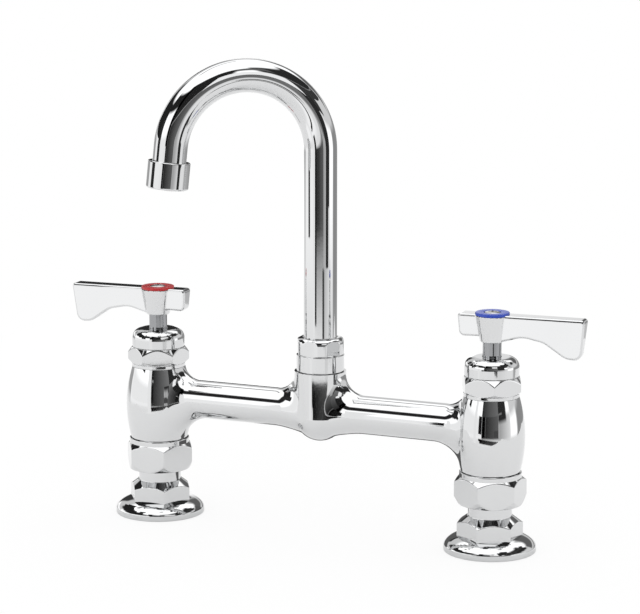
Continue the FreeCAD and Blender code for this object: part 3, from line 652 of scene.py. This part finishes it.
def makeUnionNut(side):
    node = side + "_union_nut"
    centre, low, high = nodePlace(node)
    u = unionNut
    hexTop = low + u["hexHeight"]
    lipTop = low + u["lip"]
    collarR, threadR, neckR = radii(u, "collar", "thread", "neck")
    outline = hexForm(u["acrossFlats"], low, hexTop, u["chamferLow"], u["chamferHigh"], u["edge"])
    outline[-1] = (collarR, hexTop - u["collarDrop"], crisp)
    outline += [(collarR, high, u["collarEdge"]), (threadR, high, broken), (threadR, lipTop, fine),
                (neckR, lipTop, fine), (neckR, low, broken)]
    piece = hexPiece(side + "UnionNut", outline, centre, u, low - 1, hexTop + hair, u["turn"][side],
                     perSide=40)
    dress(piece, node)


# Bonnets

bonnet = {"collarD": 30.6, "collarHeight": 2.0, "collarEdge": 0.35, "acrossFlats": 30.3, "hexHeight": 9.3,
          "chamferLow": 1.9, "chamferHigh": 3.2, "bandD": 30.0, "bandHeight": 5.2, "undercut": 0.25,
          "undercutHeight": 0.5, "domeHeight": 5.4, "flatD": 18.6, "stemBoreD": 10.3, "boreEdge": 0.4,
          "sleeveBoreD": 17.2, "sleeveD": 20.8, "threadD": 25.3, "threadLength": 7.6, "journal": 17.0,
          "softness": 0.25, "turn": {"hot": 25.0, "cold": 55.3}}


def makeBonnet(side):
    node = side + "_bonnet"
    centre, low, high = nodePlace(node)
    b = bonnet
    seatZ = high - b["domeHeight"] - b["bandHeight"] - b["hexHeight"] - b["collarHeight"]
    hexZ = seatZ + b["collarHeight"]
    bandZ = hexZ + b["hexHeight"]
    domeZ = bandZ + b["bandHeight"]
    threadZ = seatZ - b["threadLength"]
    journalZ = high - b["journal"]
    bandR, flatR, collarR, threadR = radii(b, "band", "flat", "collar", "thread")
    sleeveR, sleeveBoreR, stemR = radii(b, "sleeve", "sleeveBore", "stemBore")
    outline = [(sleeveR, low, fine), (sleeveR, threadZ, crisp), (threadR, threadZ, broken),
               (threadR, seatZ, crisp), (collarR, seatZ, b["collarEdge"]), (collarR, hexZ - sliver, broken),
               *hexForm(b["acrossFlats"], hexZ, bandZ, b["chamferLow"], b["chamferHigh"], crisp),
               (bandR - b["undercut"], bandZ + 2 * hair, hair), (bandR, bandZ + b["undercutHeight"], fine),
               (bandR, domeZ, broken), *domeArc(bandR, flatR, domeZ, b["domeHeight"], 14), (flatR, high, 0.0),
               (stemR, high, b["boreEdge"]), (stemR, journalZ, fine), (sleeveBoreR, journalZ, fine),
               (sleeveBoreR, low, fine)]
    piece = hexPiece(side + "Bonnet", outline, centre, b, hexZ - 2 * sliver, bandZ + hair, b["turn"][side],
                     plainInside=threadR + 2 * hair)
    dress(piece, node)


# Swivel nut at the foot of the gooseneck

swivelNut = {"skirtD": 26.7, "skirtHeight": 9.2, "roundD": 27.0, "acrossFlats": 25.4, "hexHeight": 6.6,
             "step": 0.7, "domeHeight": 3.2, "flatD": 21.0, "threadD": 24.5, "tubeBoreD": 18.7,
             "shoulder": 5.0, "softness": 0.12, "turn": 57.5}


def makeSwivelNut():
    node = "swivel_nut"
    centre, low, high = nodePlace(node)
    s = swivelNut
    hexZ = low + s["skirtHeight"]
    domeZ = hexZ + s["hexHeight"]
    shoulderZ = high - s["shoulder"]
    skirtR, topR, flatR, threadR, tubeR = radii(s, "skirt", "round", "flat", "thread", "tubeBore")
    outline = [(skirtR, low, broken), (skirtR, hexZ, fine), (skirtR - s["step"], hexZ, crisp),
               (topR, hexZ + s["step"], broken), (topR, domeZ, 0.0),
               *domeArc(topR, flatR, domeZ, s["domeHeight"], 10), (flatR, high, crisp), (tubeR, high, broken),
               (tubeR, shoulderZ, crisp), (threadR, shoulderZ, fine), (threadR, low, broken)]
    piece = hexPiece("swivelNut", outline, centre, s, hexZ + 3 * sliver, high + 1, s["turn"])
    dress(piece, node)


for side in sides:
    makeFoot(side)
    makeUnionNut(side)
    makeBonnet(side)
makeSwivelNut()
print("hexagon pieces made")

# Gooseneck

gooseneck = {"tubeD": 18.5, "wall": 1.0, "bendRadius": 42.0, "bendDeg": 174.0, "springHeight": 215.8,
             "outletRun": 8.0, "outletThread": 6.0, "turnDeg": -141.5, "sections": 96, "lip": 0.25}
spoutTurn = Matrix.Rotation(radians(gooseneck["turnDeg"]), 4, "Z")
neckArc = gooseneck["bendRadius"] * radians(gooseneck["bendDeg"])


# Point and direction on the tube's axis at a length in mm from the foot
def alongNeck(length, footZ):
    g = gooseneck
    bend = g["bendRadius"]
    rise = g["springHeight"] - footZ
    angle = min(max(length - rise, 0), neckArc) / bend
    centre = Vector((bend * (1 - cos(angle)), 0, g["springHeight"] + bend * sin(angle)))
    along = Vector((sin(angle), 0, cos(angle)))
    centre += along * (max(length - rise - neckArc, 0) + min(length - rise, 0))
    return centre, along


def makeSpoutTube():
    node = "spout_tube"
    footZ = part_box(node)[0].z / mm
    g = gooseneck
    total = g["springHeight"] - footZ + neckArc + g["outletRun"] + g["outletThread"]
    outer = g["tubeD"] / 2
    inner = outer - g["wall"]
    ends = ((inner, 0.0), (outer, 0.0), (outer, total), (inner, total))
    outline = [(r, length, g["lip"]) for r, length in ends]
    angles = evenAngles(g["sections"])
    rings = []
    for r, length in roundedProfile(outline, step=1.2, arcParts=4):
        centre, along = alongNeck(length, footZ)
        out = Vector((along.z, 0, -along.x))
        ring = [centre + out * (r * cos(a)) + Vector((0, r * sin(a), 0)) for a in angles]
        rings.append(np.array([spoutTurn @ (point * mm) for point in ring]))
    piece = addObject("gooseneckTube", meshFromGrid("gooseneckTube", rings, True))
    dress(piece, node, "spout")
    return footZ, total


neckFoot, neckLength = makeSpoutTube()
print("gooseneck made")

# Aerator

aerator = {"outsideD": 23.2, "height": 15.0, "boreD": 20.4, "mouthD": 18.8, "lip": 1.0, "topEdge": 0.7,
           "lowEdge": 2.0, "neckD": 18.6, "seatGap": 0.2}


# Turns a piece drawn upright, its top at zero, to hang on the end of the outlet run
def outletPlace():
    end, _ = alongNeck(neckLength - gooseneck["outletThread"], neckFoot)
    turn = Matrix.Rotation(radians(gooseneck["bendDeg"] - 180), 4, "Y")
    return spoutTurn @ Matrix.Translation(end * mm) @ turn


def makeAerator():
    a = aerator
    seatZ = a["seatGap"] - gooseneck["outletThread"]
    mouthZ = -a["height"]
    outerR, boreR, mouthR, neckR = radii(a, "outside", "bore", "mouth", "neck")
    outline = [(neckR, 0, fine), (outerR, 0, a["topEdge"]), (outerR, mouthZ, a["lowEdge"]),
               (mouthR, mouthZ, broken), (mouthR, mouthZ + a["lip"], fine), (boreR, mouthZ + a["lip"], crisp),
               (boreR, seatZ, crisp), (neckR, seatZ, crisp)]
    profile = roundedProfile(outline, step=1.5, arcParts=8)
    piece = turned("aeratorHousing", profile, (0, 0), evenAngles(128), place=outletPlace())
    dress(piece, "aerator_housing", "spout")


makeAerator()

# Index rings and screws

indexRing = {"outsideD": 18.7, "holeD": 9.4, "soft": 0.45, "crown": 0.12, "crownR": 3.0}
screw = {"headD": 9.0, "shankD": 4.8, "crown": 0.9, "recessWidth": 1.1, "recessLength": 4.4,
         "recessDepth": 1.1, "recessTurn": 20.0, "sharpDeg": 35}


def makeIndexRing(side):
    node = side + "_index_ring"
    centre, low, high = nodePlace(node)
    r = indexRing
    outerR, holeR = radii(r, "outside", "hole")
    rim = high - r["crown"]
    outline = [(holeR, low, crisp), (outerR, low, crisp), (outerR, rim, r["soft"]),
               ((outerR + holeR) / 2, high, r["crownR"]), (holeR, rim, fine)]
    piece = turned(side + "IndexRing", roundedProfile(outline, step=0.4), centre, evenAngles(96))
    dress(piece, node, side + "_valve", side + "_index")


def makeScrew(side):
    node = side + "_handle_screw"
    centre, low, high = nodePlace(node)
    s = screw
    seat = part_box(side + "_index_ring")[0].z / mm
    headR, shankR = radii(s, "head", "shank")
    rim = high - s["crown"]
    angles = np.linspace(0, pi / 2, 14)[:-1]
    outline = [(headR * sin(t), rim + s["crown"] * cos(t), 0) for t in angles]
    outline += [(headR, rim, crisp), (headR, seat, crisp), (shankR, seat, crisp), (shankR, low, broken),
                (0, low, 0)]
    profile = roundedProfile(outline, step=0.5, closed=False)
    piece = turned(side + "HandleScrew", profile, centre, evenAngles(64), closed=False)
    size = Matrix.Diagonal((s["recessLength"] * mm, s["recessWidth"] * mm, 2 * s["recessDepth"] * mm, 1))
    for k in range(2):
        slot = bmesh.new()
        bmesh.ops.create_cube(slot, size=1.0)
        turn = Matrix.Rotation(radians(s["recessTurn"] + 90 * k), 4, "Z")
        place = Matrix.Translation((*centre, high * mm)) @ turn @ size
        bmesh.ops.transform(slot, matrix=place, verts=slot.verts)
        cutWith(piece, objectFrom("slot", slot))
    piece.data.set_sharp_from_angle(angle=radians(s["sharpDeg"]))
    dress(piece, node, side + "_valve", look="screwSteel")


for side in sides:
    makeIndexRing(side)
    makeScrew(side)
print("index rings and screws made")


# Castings: a rough form is drawn onto the true surface, given as a field of distances in mm

fieldSizes = {"cosineMost": 0.999, "sineLeast": 0.06, "slopeLeast": 0.2, "moveMost": 1.5, "agree": 0.8}


# Join of two distance fields with a rolling-ball fillet of the given radius
def unionField(a, b, gradA, gradB, radius):
    most = fieldSizes["cosineMost"]
    cosine = np.clip((gradA * gradB).sum(1), -most, most)
    sine = np.sqrt(1 - cosine ** 2)
    u, v = radius - a, radius - b
    along = u - v * cosine
    across = v - u * cosine
    ball = radius - np.sqrt(np.maximum(u * u + v * v - 2 * u * v * cosine, 0)) / sine
    blended = (along > 0) & (across > 0) & (sine > fieldSizes["sineLeast"])
    return np.where(blended, ball, np.minimum(a, b))


# Overlap of two fields with a rounded edge
def crossField(a, b, radius):
    corner = np.hypot(np.maximum(a + radius, 0), np.maximum(b + radius, 0))
    return np.minimum(np.maximum(a, b), -radius) + corner


# A field's value at the points, and its slope
def gradient(field, points, step=0.01):
    base = field(points)
    return base, np.stack([(field(points + move) - base) / step for move in np.eye(3) * step], 1)


def unit(slope):
    return slope / np.maximum(np.linalg.norm(slope, axis=1), 1e-9)[:, None]


def readAll(items, name, kind=float):
    flat = np.empty(len(items) * (3 if kind is float else 1), kind)
    items.foreach_get(name, flat)
    return flat


def meshPoints(mesh):
    return readAll(mesh.vertices, "co").reshape(-1, 3) / mm


# A new skin of even voxels, drawn onto the field
def drawOnto(piece, field, voxel, rounds):
    modify(piece, "REMESH", mode="VOXEL", voxel_size=voxel * mm, adaptivity=0.0)
    most = fieldSizes["moveMost"]
    points = meshPoints(piece.data)
    for _ in range(rounds):
        value, slope = gradient(field, points)
        size = np.maximum((slope ** 2).sum(1), fieldSizes["slopeLeast"])
        points = points - np.clip(value / size, -most, most)[:, None] * slope
    piece.data.vertices.foreach_set("co", (points * mm).ravel())
    piece.data.update()


def addRod(work, diameter, start, end, parts=48):
    start, end = Vector(start), Vector(end)
    axis = end - start
    turn = axis.to_track_quat("Z", "Y").to_matrix().to_4x4()
    radius = diameter / 2 * mm
    bmesh.ops.create_cone(work, cap_ends=True, segments=parts, radius1=radius, radius2=radius,
                          depth=axis.length * mm, matrix=Matrix.Translation((start + end) / 2 * mm) @ turn)


# Normals straight from the field where a face lies on it, so that polish reads as one smooth skin
def fieldNormals(piece, field, tolerance=0.02, sharpDeg=30):
    mesh = piece.data
    mesh.shade_smooth()
    mesh.set_sharp_from_angle(angle=radians(sharpDeg))
    points = meshPoints(mesh)
    value, slope = gradient(field, points, step=0.004)
    slope = unit(slope)
    loopVertex = readAll(mesh.loops, "vertex_index", np.int64)
    normals = readAll(mesh.corner_normals, "vector").reshape(-1, 3)
    faceStart = readAll(mesh.polygons, "loop_start", np.int64)
    faceSize = readAll(mesh.polygons, "loop_total", np.int64)
    faceNormal = readAll(mesh.polygons, "normal").reshape(-1, 3)
    faceOf = np.repeat(np.arange(len(faceStart)), faceSize)
    onField = (np.abs(value) < tolerance)[loopVertex]
    agree = (faceNormal[faceOf] * slope[loopVertex]).sum(1) > fieldSizes["agree"]
    good = np.ones(len(faceStart), bool)
    np.logical_and.at(good, faceOf, onField & agree)
    use = good[faceOf]
    normals[use] = slope[loopVertex][use]
    mesh.normals_split_custom_set(normals.tolist())
    print(piece.name, "faces", len(mesh.polygons), "on the field", round(float(good.mean()), 3))


casting = {"legLow": 45.0, "legHigh": 86.4, "footD": 32.6, "bellyD": 37.2, "bellyRise": 16.0, "topD": 30.5,
           "armD": 21.6, "armHeight": 69.0, "armReach": 95.0, "blendTop": 10.5, "blendLow": 15.5,
           "bossD": 29.0, "bossHigh": 92.0, "bossDrop": 17.0, "bossBlendTop": 11.5, "bossBlendLow": 20.0,
           "tailLow": 34.3, "tailD": 28.3, "neckD": 24.4, "neckHigh": 104.0, "cavityD": 26.0,
           "cavityThreadD": 25.4, "cavityDepth": 30.4, "threadLength": 8.0, "waterwayD": 13.0, "boreD": 20.9,
           "boreLow": 78.3, "chamberD": 17.6, "chamberLow": 59.0, "centres": 203.2, "roughVoxel": 1.6,
           "fineVoxel": 0.62, "roughSpare": 4.0, "cutPast": 3.0}


# Circle through the leg's foot, belly and top, in its own half plane
def legArc(c):
    ax, bx, cx = radii(c, "foot", "belly", "top")
    ay, by, cy = c["legLow"], c["legLow"] + c["bellyRise"], c["legHigh"]
    d = 2 * (ax * (by - cy) + bx * (cy - ay) + cx * (ay - by))
    sa, sb, sc = ax * ax + ay * ay, bx * bx + by * by, cx * cx + cy * cy
    ux = (sa * (by - cy) + sb * (cy - ay) + sc * (ay - by)) / d
    uy = (sa * (cx - bx) + sb * (ax - cx) + sc * (bx - ax)) / d
    return ux, uy, hypot(ax - ux, ay - uy)


legCentreR, legCentreZ, legArcR = legArc(casting)


# Legs, arms and boss, joined by blends that grow from the arm's top to its underside
def castingField(p):
    c = casting
    side, y, z = p.T
    x = np.abs(side)
    # Leg
    dx = x - c["centres"] / 2
    rho = np.maximum(np.hypot(dx, y), 1e-6)
    fromR = rho - legCentreR
    fromZ = z - legCentreZ
    reach = np.hypot(fromR, fromZ)
    leg = reach - legArcR
    legGrad = np.stack([fromR / reach * dx / rho, fromR / reach * y / rho, fromZ / reach], 1)
    # Arm
    dz = z - c["armHeight"]
    tube = np.maximum(np.hypot(y, dz), 1e-6)
    beyond = np.maximum(x - c["armReach"], 0)
    outside = np.hypot(np.maximum(tube - c["armD"] / 2, 0), beyond)
    arm = np.where(beyond > 0, outside, tube - c["armD"] / 2)
    armGrad = np.stack([np.zeros_like(x), y / tube, dz / tube], 1)
    # Boss: a rod on a ball
    ballZ = c["armHeight"] - c["bossDrop"] + c["bossD"] / 2
    under = np.minimum(z - ballZ, 0)
    out = np.maximum(np.sqrt(x * x + y * y + under * under), 1e-6)
    boss = out - c["bossD"] / 2
    bossGrad = np.stack([x / out, y / out, under / out], 1)
    t = np.clip((z - (c["armHeight"] - c["armD"] / 2)) / c["armD"], 0, 1)
    legBlend = c["blendLow"] + (c["blendTop"] - c["blendLow"]) * t
    bossBlend = c["bossBlendLow"] + (c["bossBlendTop"] - c["bossBlendLow"]) * t
    legSide = unionField(leg, arm, legGrad, armGrad, legBlend)
    middle = unionField(boss, arm, bossGrad, armGrad, bossBlend)
    return np.where(x > c["centres"] / 4, legSide, middle)


# Closed turned cutter from (r, z) steps, starting and ending on the axis
def stopper(name, centre, steps):
    profile = [(0, steps[0][1]), *steps, (0, steps[-1][1])]
    return turned(name, profile, centre, evenAngles(96), closed=False)


def washerCutter(name, centre, inner, outer, low, high):
    profile = [(inner, low), (outer, low), (outer, high), (inner, high)]
    return turned(name, profile, centre, evenAngles(96))


# The cutters reach a few mm past the metal
def makeCasting():
    c = casting
    half = c["centres"] / 2
    spare, past = c["roughSpare"], c["cutPast"]
    legEnd = c["legHigh"] + spare
    work = bmesh.new()
    for x in (-half, half):
        addRod(work, c["topD"] + spare, (x, 0, c["tailLow"]), (x, 0, legEnd))
    addRod(work, c["armD"] + 1, (-half, 0, c["armHeight"]), (half, 0, c["armHeight"]))
    addRod(work, c["bossD"], (0, 0, c["armHeight"] - c["bossDrop"] + spare), (0, 0, c["neckHigh"]))
    piece = objectFrom("bridgeCasting", work)

    # The field with flat ends a little beyond the true ones, which the cutters then trim
    def longField(p):
        topEnd = np.where(np.abs(p[:, 0]) < half / 2, c["neckHigh"], legEnd)
        return np.maximum(np.maximum(castingField(p), p[:, 2] - topEnd), c["tailLow"] - p[:, 2])

    drawOnto(piece, longField, c["roughVoxel"], 6)
    drawOnto(piece, longField, c["fineVoxel"], 4)
    waterR, cavityR, threadR, chamberR, boreR = radii(
        c, "waterway", "cavity", "cavityThread", "chamber", "bore")
    floorZ = c["legHigh"] - c["cavityDepth"]
    threadZ = c["legHigh"] - c["threadLength"]
    cutters = []
    for x in (-half, half):
        place = (x * mm, 0)
        cutters.append(stopper("legCavity", place, [
            (waterR, c["tailLow"] - 2), (waterR, floorZ), (cavityR, floorZ), (cavityR, threadZ),
            (threadR, threadZ), (threadR, c["legHigh"]), (c["bellyD"], c["legHigh"]),
            (c["bellyD"], c["legHigh"] + 2 * spare)]))
        cutters.append(washerCutter(
            "legFoot", place, c["tailD"] / 2, c["bellyD"], c["tailLow"] - past, c["legLow"]))
    cutters.append(washerCutter(
        "bossTop", (0, 0), c["neckD"] / 2, c["bossD"], c["bossHigh"], c["neckHigh"] + past))
    cutters.append(stopper("bossBore", (0, 0), [
        (chamberR, c["chamberLow"]), (chamberR, c["boreLow"]), (boreR, c["boreLow"]),
        (boreR, c["neckHigh"] + past)]))
    cutWith(piece, joinInto(*cutters))
    work = bmesh.new()
    reach = half - cavityR + 1
    addRod(work, c["waterwayD"], (-reach, 0, c["armHeight"]), (reach, 0, c["armHeight"]), parts=64)
    cutWith(piece, objectFrom("armBore", work))
    fieldNormals(piece, castingField)
    dress(piece, "bridge_body", look="castChrome")


makeCasting()
print("bridge casting made")

# Lever handles

lever = {"hubTopD": 18.8, "hubLowD": 13.2, "hubHeight": 15.4, "reach": 52.2, "lean": 2.2, "topWidth": 9.4,
         "rootWidth": 10.0, "lowWidth": 5.0, "depth": 22.4, "kneeFromEnd": 10.6, "kneeR": 10.0,
         "sweepFromEnd": 23.0, "sweepDepth": 14.0, "sweepR": 14.0, "archAt": 17.5, "archDepth": 11.6,
         "archR": 14.0, "archFoot": 0.3, "tailReach": 18.5, "tailDepth": 12.7, "tailLean": 0.8,
         "tailRise": 0.4, "corner": 1.8, "tipR": 4.6, "tailR": 3.0, "edge": 1.3, "blend": 0.9,
         "hubEdge": 0.7, "inHub": 1.0, "ringD": 18.9, "ringSeat": 0.6, "ringStand": 1.0, "boreD": 8.5,
         "boreHeight": 10.7, "screwD": 5.2, "roughInset": 0.6, "roughVoxel": 0.9, "fineVoxel": 0.36,
         "turn": {"hot": 183.6, "cold": 3.85}}


# The blade and tail seen from the side: out along the top, round the tip, and back under the hub
def leverOutline(v, top):
    low = top - v["depth"]
    tailLow = top - v["tailDepth"]
    inHub = v["hubLowD"] / 2 - v["inHub"]
    footZ = top - v["hubHeight"] + v["archFoot"]
    corners = [(-v["tailReach"], top, v["corner"]), (v["reach"], top, v["corner"]),
               (v["reach"] - v["lean"], low, v["tipR"]), (v["reach"] - v["kneeFromEnd"], low, v["kneeR"]),
               (v["reach"] - v["sweepFromEnd"], top - v["sweepDepth"], v["sweepR"]),
               (v["archAt"], top - v["archDepth"], v["archR"]), (inHub, footZ, fine), (-inHub, footZ, fine),
               (-inHub, tailLow + v["tailRise"], fine),
               (v["tailLean"] - v["tailReach"], tailLow, v["tailR"])]
    return roundedProfile(corners, arcParts=10)


# Signed distance from points to a closed outline, less than zero inside
def outlineDistance(outline, u, z):
    best = np.full(len(u), 1e9)
    inside = np.zeros(len(u), bool)
    for (au, az), (bu, bz) in zip(outline, np.roll(outline, -1, 0)):
        eu, ez = bu - au, bz - az
        pu, pz = u - au, z - az
        t = np.clip((pu * eu + pz * ez) / (eu * eu + ez * ez), 0, 1)
        best = np.minimum(best, (pu - t * eu) ** 2 + (pz - t * ez) ** 2)
        inside ^= ((az > z) != (bz > z)) & (u < eu * pz / (ez + 1e-12) + au)
    return np.where(inside, -1.0, 1.0) * np.sqrt(best)


def makeLeverField(v, outline, top):
    low = top - v["hubHeight"]
    flare = (v["hubTopD"] - v["hubLowD"]) / 2 / v["hubHeight"]
    flareCos = 1 / hypot(1, flare)
    draft = (v["topWidth"] - v["lowWidth"]) / 2 / v["depth"]
    draftCos = 1 / hypot(1, draft)
    swell = (v["rootWidth"] - v["topWidth"]) / 2 / (v["reach"] + v["tailReach"])

    def blade(p):
        u, y, z = p.T
        half = v["topWidth"] / 2 + swell * (v["reach"] - u) - draft * (top - z)
        flat = outlineDistance(outline, u, z)
        return crossField(flat, (np.abs(y) - half) * draftCos, v["edge"])

    def hub(p):
        x, y, z = p.T
        cone = (np.hypot(x, y) - (v["hubLowD"] / 2 + flare * (z - low))) * flareCos
        return crossField(cone, np.maximum(z - top, low - z), v["hubEdge"])

    def whole(p):
        a, gradA = gradient(blade, p)
        b, gradB = gradient(hub, p)
        return unionField(a, b, unit(gradA), unit(gradB), v["blend"])

    return whole


def makeLever():
    v = lever
    top = nodePlace("hot_index_ring")[2] - v["ringStand"]
    hubLow = top - v["hubHeight"]
    outline = leverOutline(v, top)
    field = makeLeverField(v, outline, top)
    work = bmesh.new()
    addRod(work, (v["hubTopD"] + v["hubLowD"]) / 2, (0, 0, hubLow), (0, 0, top))
    half = v["topWidth"] / 2 - v["roughInset"]
    front, back = [[work.verts.new((u * mm, y * mm, z * mm)) for u, z in outline] for y in (-half, half)]
    work.faces.new(front)
    work.faces.new(reversed(back))
    for k in range(len(outline)):
        m = (k + 1) % len(outline)
        work.faces.new((front[k], back[k], back[m], front[m]))
    bmesh.ops.recalc_face_normals(work, faces=work.faces)
    piece = objectFrom("lever", work)
    drawOnto(piece, field, v["roughVoxel"], 4)
    drawOnto(piece, field, v["fineVoxel"], 3)
    boreR, screwR, ringR = radii(v, "bore", "screw", "ring")
    shelfZ = hubLow + v["boreHeight"]
    seatZ = top - v["ringSeat"]
    cutWith(piece, stopper("leverBore", (0, 0), [
        (boreR, hubLow - 2), (boreR, shelfZ), (screwR, shelfZ), (screwR, seatZ), (ringR, seatZ),
        (ringR, top + 2)]))
    fieldNormals(piece, field)
    return piece


def placeLevers():
    drawn = makeLever()
    for side in sides:
        data = drawn.data.copy()
        centre = nodePlace(side + "_index_ring")[0]
        place = Matrix.Translation((*centre, 0))
        data.transform(place @ Matrix.Rotation(radians(lever["turn"][side]), 4, "Z"))
        piece = addObject(side + "Lever", data)
        dress(piece, side + "_handle", side + "_valve")
    discard(drawn)


placeLevers()
print("lever handles made")

# Inner pieces keep their own shape and get a finish

sideLooks = {
    "rubber": ("stem_o_rings", "seat_seal", "bonnet_seal", "union_washer", "deck_gasket"),
    "ceramic": ("upper_disc", "lower_disc"), "stemSteel": ("stem",), "chrome": ("tailpiece",),
    "white_plastic": ("thrust_washer",),
}
spoutLooks = {
    "rubber": ("spout_o_rings", "aerator_gasket"), "brass": ("spout_ferrule",),
    "white_plastic": ("spout_bearing", "aerator_insert"),
}


def finishNodes():
    wanted = {name: look for look, names in spoutLooks.items() for name in names}
    for look, names in sideLooks.items():
        wanted.update({side + "_" + name: look for side in sides for name in names})
    for name, look in wanted.items():
        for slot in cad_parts[name].material_slots:
            slot.material = finishes[look]
    return len(wanted)


print("inner pieces finished:", finishNodes())
